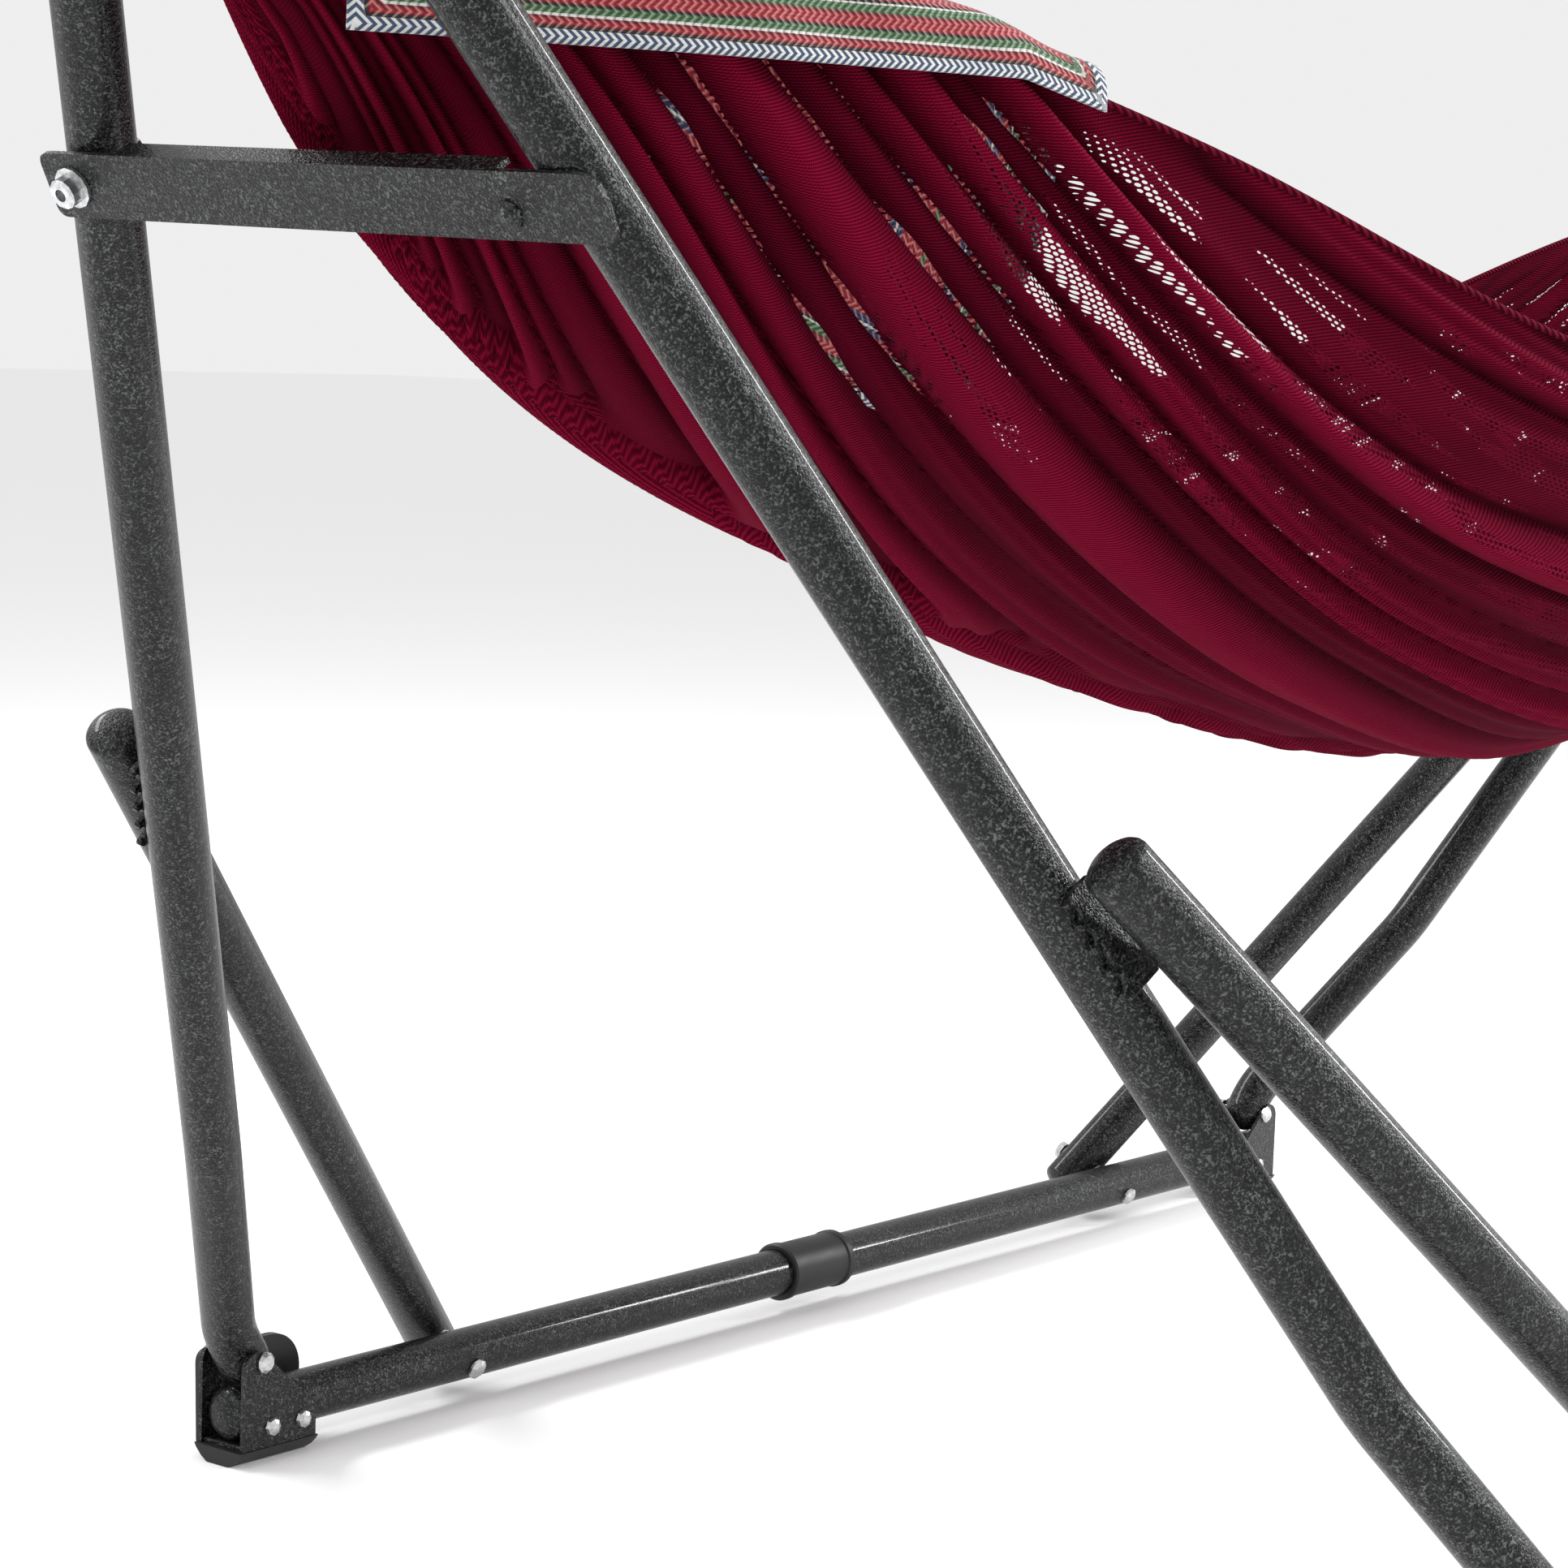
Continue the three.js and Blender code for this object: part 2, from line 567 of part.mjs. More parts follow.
function throwLine(x, offset) {
  const edge = clothPoint(x, -Math.PI / 2);
  const line = [];
  const reach = THROW_CREST + offset;
  const drop = Math.max(edge.z - THROW_HEM_Z, 12);
  for (let i = 0; i <= 3; i += 1) line.push(new THREE.Vector3(x, edge.y - reach, edge.z - drop * (1 - i / 3)));
  for (let i = 1; i < 6; i += 1) {
    const angle = Math.PI - (Math.PI * i) / 6;
    line.push(new THREE.Vector3(x, edge.y + reach * Math.cos(angle), edge.z + reach * Math.sin(angle)));
  }
  const steps = 5;
  for (let i = 0; i <= steps; i += 1) {
    const angle = -Math.PI / 2 + (0.95 * i) / steps;
    const normal = clothNormal(x, angle);
    normal.x = 0;
    normal.normalize();
    const lift = reach - (THROW_CREST - 12) * Math.min(1, i / 2);
    line.push(clothPoint(x, angle).addScaledVector(normal, -lift));
  }
  return line;
}

function throwCloth() {
  const outer = [];
  const inner = [];
  const rows = 9;
  for (let r = 0; r <= rows; r += 1) {
    const x = THROW_X0 + ((THROW_X1 - THROW_X0) * r) / rows;
    outer.push(throwLine(x, THROW_CLOTH / 2));
    inner.push(throwLine(x, -THROW_CLOTH / 2));
  }
  return slab(outer, inner);
}

// ---------- base rails ----------
function railTube(x0, x1) {
  const inside = TUBE_R - TUBE_WALL;
  const outerRod = rod([x0, RAIL_Y, RAIL_Z], [x1, RAIL_Y, RAIL_Z], TUBE_R);
  const bore = rod([x0 - 5, RAIL_Y, RAIL_Z], [x1 + 5, RAIL_Y, RAIL_Z], inside);
  const sx = x0 + x1 > 0 ? 1 : -1;
  const boltAt = [sx * STRUT_X, RAIL_Y, RAIL_Z];
  const boltHole = rod(along(boltAt, STRUT_TILT, -30), along(boltAt, STRUT_TILT, 30), HOLE_R, 10);
  return cut(outerRod, bore, boltHole);
}

function bushing(length, outerR, innerR) {
  const x0 = RAIL_JOINT_X - length / 2;
  const profile = [[innerR, 0], [outerR - 1.2, 0], [outerR, 1.2], [outerR, length - 1.2],
    [outerR - 1.2, length], [innerR, length], [innerR, 0]];
  return turned(profile, [x0, RAIL_Y, RAIL_Z], [1, 0, 0]);
}

const ENDS = [['left', -1], ['right', 1]];
const FLANKS = [['far', 1], ['near', -1]];

for (const [side, sy] of FLANKS) {
  place(`rail_left_${side}`, mirrored(railTube(-RAIL_END_X, RAIL_JOINT_X - GAP), 1, sy), POWDER);
  place(`rail_right_${side}`, mirrored(railTube(RAIL_JOINT_X + GAP, RAIL_END_X), 1, sy), POWDER);
  place(`rail_collar_${side}`, mirrored(bushing(COLLAR_LENGTH, COLLAR_R, TUBE_R + GAP), 1, sy), PLASTIC);
  const spigotR = TUBE_R - TUBE_WALL - GAP;
  place(`rail_spigot_${side}`, mirrored(bushing(SPIGOT_LENGTH, spigotR, spigotR - 2), 1, sy), ZINC);
}

const armPair = arm();
for (const [end, sx] of ENDS) {
  for (const [side, sy] of FLANKS) {
    const tag = `${end}_${side}`;
    place(`rail_plug_${tag}`, mirrored(endPlug(), sx, sy), PLASTIC);
    place(`foot_bracket_${tag}`, mirrored(footBracket(), sx, sy), POWDER);
    place(`foot_pad_${tag}`, mirrored(footPad(), sx, sy), PLASTIC);
    place(`foot_bolt_${tag}`, mirrored(pivotBolt(), sx, sy), ZINC);
    bracketScrewPlaces().forEach((at, i) => {
      place(`foot_screw_${tag}_${i + 1}`, mirrored(bracketScrew(at), sx, sy), ZINC);
    });
    place(`arm_${tag}`, mirrored(side === 'far' ? armPair.bored : armPair.plain, sx, sy), POWDER);
    place(`notch_bracket_${tag}`, mirrored(notchBracket(), sx, sy), POWDER);
    place(`strut_${tag}`, mirrored(strut(), sx, sy), POWDER);
    place(`strut_bolt_${tag}`, mirrored(strutBolt(), sx, sy), ZINC);
  }
  place(`head_${end}`, mirrored(head(), sx, 1), POWDER);
  place(`brace_${end}`, mirrored(brace(), sx, 1), POWDER);
  place(`brace_bolt_${end}`, mirrored(braceBolt(), sx, 1), ZINC);
  place(`carabiner_${end}`, mirrored(carabiner(), sx, 1), ZINC);
  place(`end_cord_${end}`, mirrored(endCord(), sx, 1), CORD);
}
place('hammock', hammock(), COTTON);
place('throw', throwCloth(), SERAPE);

export default group;
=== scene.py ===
import json
import math

import bmesh
import bpy
import numpy as np
from mathutils import Matrix, Vector


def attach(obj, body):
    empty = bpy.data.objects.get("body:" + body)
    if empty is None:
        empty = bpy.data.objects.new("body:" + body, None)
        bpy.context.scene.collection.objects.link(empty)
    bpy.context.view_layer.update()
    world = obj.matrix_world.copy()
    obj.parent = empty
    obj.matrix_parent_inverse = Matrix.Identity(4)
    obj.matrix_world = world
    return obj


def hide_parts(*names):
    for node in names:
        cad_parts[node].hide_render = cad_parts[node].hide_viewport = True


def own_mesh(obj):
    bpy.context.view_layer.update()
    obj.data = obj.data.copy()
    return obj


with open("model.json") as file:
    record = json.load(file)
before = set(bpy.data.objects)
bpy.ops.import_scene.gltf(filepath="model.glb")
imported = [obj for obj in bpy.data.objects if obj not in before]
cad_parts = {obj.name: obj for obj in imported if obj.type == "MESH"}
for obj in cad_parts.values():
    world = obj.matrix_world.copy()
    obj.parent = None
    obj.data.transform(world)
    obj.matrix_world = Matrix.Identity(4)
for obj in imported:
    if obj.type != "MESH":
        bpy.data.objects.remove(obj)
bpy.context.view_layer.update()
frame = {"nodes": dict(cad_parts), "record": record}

scene = bpy.context.scene
MM = 0.001

# ---------- camera ----------
camera = bpy.data.cameras.new("camera")
camera.lens = 92.63
camera.sensor_width = 36
camera_object = bpy.data.objects.new("camera", camera)
scene.collection.objects.link(camera_object)
turn = Matrix(((0.62246, 0.06751, -0.77973), (-0.78185, 0.09855, -0.61562), (0.03529, 0.99284, 0.11413)))
camera_object.matrix_world = Matrix.Translation((-2.4311, -1.3701, 0.7552)) @ turn.to_4x4()
scene.camera = camera_object

# ---------- dimensions, as in the CAD model, in millimetres ----------
TUBE_R = 17.5
WALL = 1.6
RAIL_Y = 498
RAIL_Z = 32
RAIL_END_X = 626
RAIL_JOINT_X = -18
COLLAR = (72, 21.5)
PIVOT = Vector((616, 498, 68.5))
FOOT_TOP = Vector((630, 496.4, 88))
KNEE = Vector((730, 410, 236))
ARM_TOP = Vector((1202, 47, 1075))
STRUT_X = 407
TILT = Vector((0, 0.925, 0.38))
STRUT_OFFSET = 37
STRUT_DIR = Vector((0.685, -0.277, 0.674))
STRUT_LENGTH = 686
STRUT_TAIL = 22
PIN_DOWN = 56
PIN_OUT = 2.2
BRACE_U = 871
NOTCH_U = 466
NOTCH_LENGTH = 60
HOLE_R = 4.3
EYE = Vector((1200, 0, 1040))
GATHER = Vector((1163, 0, 962))
CLOTH_END_X = 1147
GAP = 0.3
BORE_HALF = 40
PLUG_DEPTH = 16
END_DOME = 8
STRUT_PIN_R = 5
NOTCH_PLATE = 4
SLEEVE_LENGTH, SLEEVE_WALL, ARM_IN_SLEEVE = 70, 3.2, 62
HEAD_BAR_DOWN, HEAD_BAR_R = 14, 9
EYE_R, EYE_WIRE_R = 17, 4.5
LINK_DOWN, LINK_HALF, LINK_R, LINK_WIRE_R = 32, 24, 15, 3.6
END_LOOP_DOWN, END_LOOP_R, END_LOOP_CORD_R = 60, 13, 5
ENDS = (("left", -1), ("right", 1))
FLANKS = (("far", 1), ("near", -1))
BASE = "base"

arm_up = (ARM_TOP - KNEE).normalized()
arm_side = Vector((arm_up.x, 0, arm_up.z)).normalized()
outward = Vector((arm_side.z, 0, -arm_side.x))
strut_pivot = Vector((STRUT_X, RAIL_Y, RAIL_Z)) + TILT * STRUT_OFFSET
hang = (GATHER - EYE).normalized()


def arm_point(u):
    """Point on the arm's centre line at the distance u from the foot, measured along the frame's plane."""
    knee_u = (KNEE - PIVOT).dot(arm_side)
    return KNEE + arm_up * ((u - knee_u) / arm_up.dot(arm_side))


# ---------- node helpers ----------
def add(tree, kind, inputs=None, **props):
    node = tree.nodes.new(kind)
    for key, value in props.items():
        setattr(node, key, value)
    for key, value in (inputs or {}).items():
        if isinstance(value, bpy.types.NodeSocket):
            tree.links.new(value, node.inputs[key])
        else:
            node.inputs[key].default_value = value
    return node


def maths(tree, operation, a, b=0.0):
    return add(tree, "ShaderNodeMath", {0: a, 1: b}, operation=operation).outputs[0]


def blend_colour(tree, factor, a, b):
    node = add(tree, "ShaderNodeMix", data_type="RGBA")
    for index, value in ((0, factor), (6, a), (7, b)):
        if isinstance(value, bpy.types.NodeSocket):
            tree.links.new(value, node.inputs[index])
        else:
            node.inputs[index].default_value = value
    return node.outputs[2]


def ramp(tree, factor, stops, interpolation="LINEAR"):
    node = add(tree, "ShaderNodeValToRGB", {0: factor})
    node.color_ramp.interpolation = interpolation
    while len(node.color_ramp.elements) < len(stops):
        node.color_ramp.elements.new(1.0)
    for element, (place, colour) in zip(node.color_ramp.elements, stops):
        element.position = place
        element.color = (*colour, 1) if len(colour) == 3 else colour
    return node.outputs[0]


def remap(tree, value, low, high, new_low, new_high):
    inputs = {0: value, 1: low, 2: high, 3: new_low, 4: new_high}
    return add(tree, "ShaderNodeMapRange", inputs, clamp=True).outputs[0]


def noise(tree, where, scale, detail=3.0, rough=0.6, distortion=0.0):
    inputs = {"Vector": where, "Scale": scale, "Detail": detail, "Roughness": rough, "Distortion": distortion}
    return add(tree, "ShaderNodeTexNoise", inputs).outputs[0]


def new_material(name, **sockets):
    material = bpy.data.materials.new(name)
    material.use_nodes = True
    tree = material.node_tree
    shader = tree.nodes["Principled BSDF"]
    for key, value in sockets.items():
        shader.inputs[key.replace("_", " ")].default_value = value
    return material, tree, shader


def bump(tree, shader, height, strength, distance):
    node = add(tree, "ShaderNodeBump", {"Strength": strength, "Distance": distance, "Height": height})
    tree.links.new(node.outputs[0], shader.inputs["Normal"])


# ---------- materials ----------
def powder_coat():
    """Dark hammered coat: light veins and grains in near-black, under a thin clear layer."""
    material, tree, shader = new_material(
        "hammered_powder", Metallic=0.5, Specular_IOR_Level=0.25, Coat_Weight=0.2, Coat_Roughness=0.1
    )
    where = add(tree, "ShaderNodeTexCoord").outputs["Object"]
    veins = noise(tree, where, 430, 2.0, 0.6, 1.4)
    grains = add(tree, "ShaderNodeTexVoronoi", {"Vector": where, "Scale": 700.0}).outputs[0]
    broad = noise(tree, where, 14, 3, 0.6)
    height = maths(tree, "ADD", maths(tree, "MULTIPLY", veins, 0.8), maths(tree, "MULTIPLY", grains, 0.45))
    speckle = maths(tree, "ADD", maths(tree, "MULTIPLY", veins, 0.8), maths(tree, "MULTIPLY", grains, 0.22))
    stops = [(0.40, (0.0005, 0.0005, 0.0005)), (0.48, (0.003, 0.0032, 0.0033))]
    stops += [(0.56, (0.02, 0.0209, 0.0212)), (0.66, (0.11, 0.1144, 0.1166))]
    colour = ramp(tree, speckle, stops)
    shade = blend_colour(tree, remap(tree, broad, 0.35, 0.7, 0.0, 0.4), colour, (0.006, 0.0064, 0.0066, 1))
    tree.links.new(shade, shader.inputs["Base Color"])
    tree.links.new(remap(tree, speckle, 0.3, 0.75, 0.3, 0.5), shader.inputs["Roughness"])
    bump(tree, shader, height, 0.75, 0.0011)
    return material


def moulded_plastic():
    material, tree, shader = new_material("moulded_plastic", Specular_IOR_Level=0.4)
    where = add(tree, "ShaderNodeTexCoord").outputs["Object"]
    grain = noise(tree, where, 900, 2, 0.5)
    broad = noise(tree, where, 30, 3, 0.6)
    colour = ramp(tree, broad, [(0.3, (0.0045, 0.0045, 0.005)), (0.7, (0.011, 0.011, 0.012))])
    tree.links.new(colour, shader.inputs["Base Color"])
    tree.links.new(remap(tree, broad, 0.3, 0.7, 0.42, 0.58), shader.inputs["Roughness"])
    bump(tree, shader, grain, 0.25, 0.0003)
    return material


def zinc_plate():
    material, tree, shader = new_material("zinc_plate", Metallic=1.0)
    where = add(tree, "ShaderNodeTexCoord").outputs["Object"]
    broad = noise(tree, where, 190, 4, 0.65)
    brushed = add(tree, "ShaderNodeMapping", {"Vector": where, "Scale": (1.0, 9.0, 1.0)}).outputs[0]
    lines = noise(tree, brushed, 420, 3, 0.6)
    colour = ramp(tree, broad, [(0.3, (0.34, 0.345, 0.35)), (0.7, (0.72, 0.73, 0.74))])
    tree.links.new(colour, shader.inputs["Base Color"])
    tree.links.new(remap(tree, broad, 0.3, 0.7, 0.38, 0.2), shader.inputs["Roughness"])
    bump(tree, shader, lines, 0.2, 0.0003)
    return material


def twist_cord(name, dark, light):
    material, tree, shader = new_material(name, Roughness=0.95, Specular_IOR_Level=0.05)
    where = add(tree, "ShaderNodeTexCoord").outputs["Object"]
    slant = add(tree, "ShaderNodeMapping", {"Vector": where, "Rotation": (0.4, 0.7, 0.6)}).outputs[0]
    twist = add(tree, "ShaderNodeTexWave", {"Vector": slant, "Scale": 95.0, "Distortion": 0.8}).outputs[1]
    fuzz = noise(tree, where, 1600, 2)
    # dark to light across the twist: painted shade between the strands and painted highlight on their crests
    colour = blend_colour(tree, remap(tree, twist, 0.2, 0.9, 0.0, 1.0), (*dark, 1), (*light, 1))
    tree.links.new(colour, shader.inputs["Base Color"])
    height = maths(tree, "ADD", twist, maths(tree, "MULTIPLY", fuzz, 0.4))
    bump(tree, shader, height, 0.7, 0.0012)
    return material


def open_weave():
    """Burgundy cotton: twill ribs with painted highlights and painted shade in their grooves, painted light on
    the fold ridges and painted shade in the valleys, and patches where rows of holes open the weave.

    The UV map is distance in metres. fold is 1 on a ridge, slack is 1 where holes may be, and flow is the same
    all along a fold.
    """
    material, tree, shader = new_material(
        "cotton_weave", Roughness=0.92, Sheen_Weight=0.01, Sheen_Roughness=0.45, Specular_IOR_Level=0.02
    )
    shader.inputs["Sheen Tint"].default_value = (0.9, 0.12, 0.25, 1)
    uv = add(tree, "ShaderNodeUVMap", uv_map="UVMap").outputs[0]
    split = add(tree, "ShaderNodeSeparateXYZ", {0: uv})
    u, v = split.outputs[0], split.outputs[1]
    fold = add(tree, "ShaderNodeAttribute", attribute_name="fold").outputs["Fac"]
    slack = add(tree, "ShaderNodeAttribute", attribute_name="slack").outputs["Fac"]
    wobble = noise(tree, uv, 9, 3)
    # twill: fine ribs across the length, slightly slanted
    slant = maths(tree, "ADD", maths(tree, "MULTIPLY", u, 1500), maths(tree, "MULTIPLY", v, 1900))
    twill = maths(tree, "SINE", maths(tree, "ADD", slant, maths(tree, "MULTIPLY", wobble, 9)))
    threads = maths(tree, "SINE", maths(tree, "MULTIPLY", u, 4200))
    mix = maths(tree, "ADD", maths(tree, "MULTIPLY", twill, 0.5), maths(tree, "MULTIPLY", threads, 0.22))
    weave = maths(tree, "ADD", mix, 0.5)
    broad = noise(tree, uv, 5.0, 4, 0.65)
    # painted light and shade of the folds: deep is the painted shade in a valley, lit the painted light on a
    # ridge, mixed by fold
    deep, lit = (0.009, 0.0001, 0.0018, 1), (0.105, 0.0003, 0.0130, 1)
    colour = blend_colour(tree, remap(tree, fold, 0.05, 0.95, 0.0, 1.0), deep, lit)
    patchy = remap(tree, broad, 0.35, 0.7, 0.0, 0.45)
    colour = blend_colour(tree, patchy, colour, (0.060, 0.0002, 0.008, 1))
    # painted highlight on the twill ribs, strongest where the fold ridges take the painted light
    lit_share = remap(tree, fold, 0.1, 1.0, 0.25, 1.0)
    ribs = maths(tree, "MULTIPLY", remap(tree, weave, 0.35, 1.1, 0.0, 0.62), lit_share)
    colour = blend_colour(tree, ribs, colour, (0.27, 0.008, 0.032, 1))
    # painted shade in the grooves between the twill ribs
    groove_shade = remap(tree, weave, 0.3, -0.2, 0.0, 0.55)
    colour = blend_colour(tree, groove_shade, colour, (0.018, 0.0002, 0.0035, 1))
    # open patches: long lens shapes along the cloth, with rows of holes
    flow = add(tree, "ShaderNodeAttribute", attribute_name="flow").outputs["Fac"]
    stretched = {0: maths(tree, "MULTIPLY", u, 8.0), 1: maths(tree, "MULTIPLY", flow, 34.0)}
    lens = noise(tree, add(tree, "ShaderNodeCombineXYZ", stretched).outputs[0], 1.0, 1.5, 0.45)
    zone = maths(tree, "MULTIPLY", remap(tree, lens, 0.52, 0.57, 0.0, 1.0), slack)
    pitch_u, pitch_v = 0.0052, 0.0042
    cell_u = maths(tree, "DIVIDE", u, pitch_u)
    cell_v = maths(tree, "DIVIDE", v, pitch_v)
    row = maths(tree, "MULTIPLY", maths(tree, "FLOOR", cell_v), 0.5)
    across = maths(tree, "SUBTRACT", maths(tree, "FRACT", maths(tree, "ADD", cell_u, row)), 0.5)
    across = maths(tree, "ABSOLUTE", across)
    down = maths(tree, "ABSOLUTE", maths(tree, "SUBTRACT", maths(tree, "FRACT", cell_v), 0.5))
    squares = maths(tree, "ADD", maths(tree, "POWER", across, 2.0), maths(tree, "POWER", down, 2.0))
    reach = maths(tree, "SQRT", squares)
    size = remap(tree, zone, 0.25, 1.0, 0.12, 0.36)
    is_open = maths(tree, "GREATER_THAN", zone, 0.3)
    hole = maths(tree, "MULTIPLY", maths(tree, "LESS_THAN", reach, size), is_open)
    rim = maths(tree, "MULTIPLY", remap(tree, reach, 0.34, 0.5, 0.0, 0.35), is_open)
    colour = blend_colour(tree, rim, colour, (0.14, 0.006, 0.024, 1))
    tree.links.new(colour, shader.inputs["Base Color"])
    tree.links.new(maths(tree, "SUBTRACT", 1.0, hole), shader.inputs["Alpha"])
    fuzz = noise(tree, uv, 900, 2)
    bump(tree, shader, maths(tree, "ADD", weave, maths(tree, "MULTIPLY", fuzz, 0.5)), 0.55, 0.0011)
    return material


def striped_throw():
    """Bands that follow every border of the throw, with chevron threads.

    border is the distance to the nearest border and run the distance along it, both in metres.
    """
    material, tree, shader = new_material(
        "striped_throw", Roughness=0.86, Sheen_Weight=0.2, Specular_IOR_Level=0.2
    )
    uv = add(tree, "ShaderNodeUVMap", uv_map="UVMap").outputs[0]
    edge = add(tree, "ShaderNodeAttribute", attribute_name="border").outputs["Fac"]
    run = add(tree, "ShaderNodeAttribute", attribute_name="run").outputs["Fac"]
    white, navy, black = (0.58, 0.60, 0.57), (0.02, 0.035, 0.10), (0.012, 0.010, 0.012)
    red, green, deep = (0.33, 0.016, 0.028), (0.03, 0.13, 0.05), (0.17, 0.006, 0.016)
    # where each band starts, in millimetres from the border
    bands = [
        (0, white), (6.5, black), (8.2, red), (11.0, deep), (12.6, white), (13.8, green), (17.2, black),
        (18.6, red), (24.0, deep), (25.6, green), (29.4, white), (30.4, black), (31.8, red), (37.0, navy),
        (40.5, white), (42.0, navy), (45.5, red), (62.0, green), (65.0, red), (80.0, navy), (83.0, white),
        (84.5, navy), (88.0, red),
    ]
    reach = 120.0
    stops = [(place / reach, colour) for place, colour in bands]
    colour = ramp(tree, maths(tree, "DIVIDE", edge, reach * MM), stops, "CONSTANT")
    # chevron threads: fine zigzag of light and dark in the bands
    pitch, wide = 0.0042, 0.0033
    zig = maths(tree, "SUBTRACT", maths(tree, "FRACT", maths(tree, "DIVIDE", edge, 2 * wide)), 0.5)
    zig = maths(tree, "ABSOLUTE", zig)
    phase = maths(tree, "ADD", maths(tree, "DIVIDE", run, pitch), maths(tree, "MULTIPLY", zig, 1.6))
    chevron = maths(tree, "SINE", maths(tree, "MULTIPLY", phase, 2 * math.pi))
    hem = maths(tree, "LESS_THAN", edge, 0.0065)
    inner = maths(tree, "SUBTRACT", 1.0, hem)
    for where, span, thread_colour in (
        (hem, (-0.1, 0.25, 0.95, 0.0), navy),
        (inner, (0.25, 0.95, 0.0, 0.38), (0.55, 0.42, 0.36)),
        (inner, (-0.95, -0.3, 0.62, 0.0), (0.03, 0.006, 0.01)),
    ):
        share = maths(tree, "MULTIPLY", remap(tree, chevron, *span), where)
        colour = blend_colour(tree, share, colour, (*thread_colour, 1))
    tree.links.new(colour, shader.inputs["Base Color"])
    thread = maths(tree, "SINE", maths(tree, "MULTIPLY", edge, 3600))
    fuzz = noise(tree, uv, 1200, 2)
    height = maths(tree, "ADD", maths(tree, "MULTIPLY", thread, 0.3), maths(tree, "MULTIPLY", chevron, 0.6))
    bump(tree, shader, maths(tree, "ADD", height, maths(tree, "MULTIPLY", fuzz, 0.5)), 0.6, 0.0011)
    return material


POWDER = powder_coat()
PLASTIC = moulded_plastic()
ZINC = zinc_plate()
COTTON = open_weave()
SERAPE = striped_throw()
# one burgundy cord: the dark and light tones are its painted shade and painted highlight
CORD = twist_cord("twist_cord", (0.03, 0.0004, 0.004), (0.13, 0.002, 0.016))
FINISHES = {
    "powder": POWDER, "plastic": PLASTIC, "zinc": ZINC, "cotton": COTTON, "serape": SERAPE, "cord": CORD
}


# ---------- mesh helpers ----------
def shade(mesh, angle=35):
    for polygon in mesh.polygons:
        polygon.use_smooth = True
    mesh.set_sharp_from_angle(angle=math.radians(angle))


def make(name, verts, faces, material, body, nodes=(), slot=None, angle=35):
    mesh = bpy.data.meshes.new(name)
    mesh.from_pydata([tuple(Vector(p) * MM) for p in verts], [], faces)
    fix = bmesh.new()
    fix.from_mesh(mesh)
    bmesh.ops.remove_doubles(fix, verts=fix.verts, dist=1e-7)
    bmesh.ops.recalc_face_normals(fix, faces=fix.faces)
    fix.to_mesh(mesh)
    fix.free()
    shade(mesh, angle)
    piece = bpy.data.objects.new(name, mesh)
    scene.collection.objects.link(piece)
    mesh.materials.append(material)
    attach(piece, body)
    if nodes:
        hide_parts(*nodes)
    return piece


def mirror(p, sx, sy):
    return Vector((p[0] * sx, p[1] * sy, p[2]))


def basis(direction):
    d = Vector(direction).normalized()
    side = Vector((0, 0, 1)) if abs(d.z) < 0.9 else Vector((1, 0, 0))
    a = d.cross(side).normalized()
    return a, d.cross(a).normalized(), d


def lathe(profile, at, direction, sides=48, closed=False):
    """Verts and faces of [radius, distance] points turned round direction; closed joins last to first."""
    a, b, d = basis(direction)
    verts, rings = [], []
    for radius, height in profile:
        centre = Vector(at) + d * height
        if radius < 1e-6:
            rings.append([len(verts)])
            verts.append(centre)
            continue
        rings.append(list(range(len(verts), len(verts) + sides)))
        for k in range(sides):
            t = 2 * math.pi * k / sides
            verts.append(centre + a * (radius * math.cos(t)) + b * (radius * math.sin(t)))
    faces = []
    pairs = list(zip(rings, rings[1:])) + ([(rings[-1], rings[0])] if closed else [])
    for low, high in pairs:
        if len(low) + len(high) == 2:
            continue
        for k in range(sides):
            n = (k + 1) % sides
            if len(low) == 1:
                faces.append((low[0], high[n], high[k]))
            elif len(high) == 1:
                faces.append((low[k], low[n], high[0]))
            else:
                faces.append((low[k], low[n], high[n], high[k]))
    return verts, faces


def dome(radius, height, base, steps=7):
    """Profile points of an elliptical dome that starts at base."""
    points = []
    for i in range(steps + 1):
        t = math.pi / 2 * i / steps
        points.append((0 if i == steps else radius * math.cos(t), base + height * math.sin(t)))
    return points


def fillet(points, size, steps=12):
    """The polyline with each inner corner rounded over the given distance."""
    path = [Vector(points[0])]
    for before, corner, after in zip(points, points[1:], points[2:]):
        start = corner + (before - corner).normalized() * size
        end = corner + (after - corner).normalized() * size
        for i in range(steps + 1):
            t = i / steps
            path.append(start * (1 - t) ** 2 + corner * (2 * t * (1 - t)) + end * t * t)
    path.append(Vector(points[-1]))
    return path


def sweep(path, radii, sides=40, closed=False):
    """Verts and faces of a tube along path, with a radius at each point; open tubes get closed ends."""
    n = len(path)
    tangents = []
    for i in range(n):
        a, b = (path[i - 1], path[(i + 1) % n]) if closed else (path[max(i - 1, 0)], path[min(i + 1, n - 1)])
        tangents.append((b - a).normalized())
    side = basis(tangents[0])[0]
    verts, faces = [], []
    for i, (point, tangent) in enumerate(zip(path, tangents)):
        side = (side - tangent * side.dot(tangent)).normalized()
        other = tangent.cross(side)
        for k in range(sides):
            t = 2 * math.pi * k / sides
            verts.append(point + (side * math.cos(t) + other * math.sin(t)) * radii[i])
    for i in range(n if closed else n - 1):
        for k in range(sides):
            m, j = (k + 1) % sides, (i + 1) % n
            faces.append((i * sides + k, i * sides + m, j * sides + m, j * sides + k))
    if not closed:
        for ring, tip in ((0, path[0]), (n - 1, path[-1])):
            verts.append(tip)
            for k in range(sides):
                faces.append((ring * sides + k, ring * sides + (k + 1) % sides, len(verts) - 1))
    return verts, faces


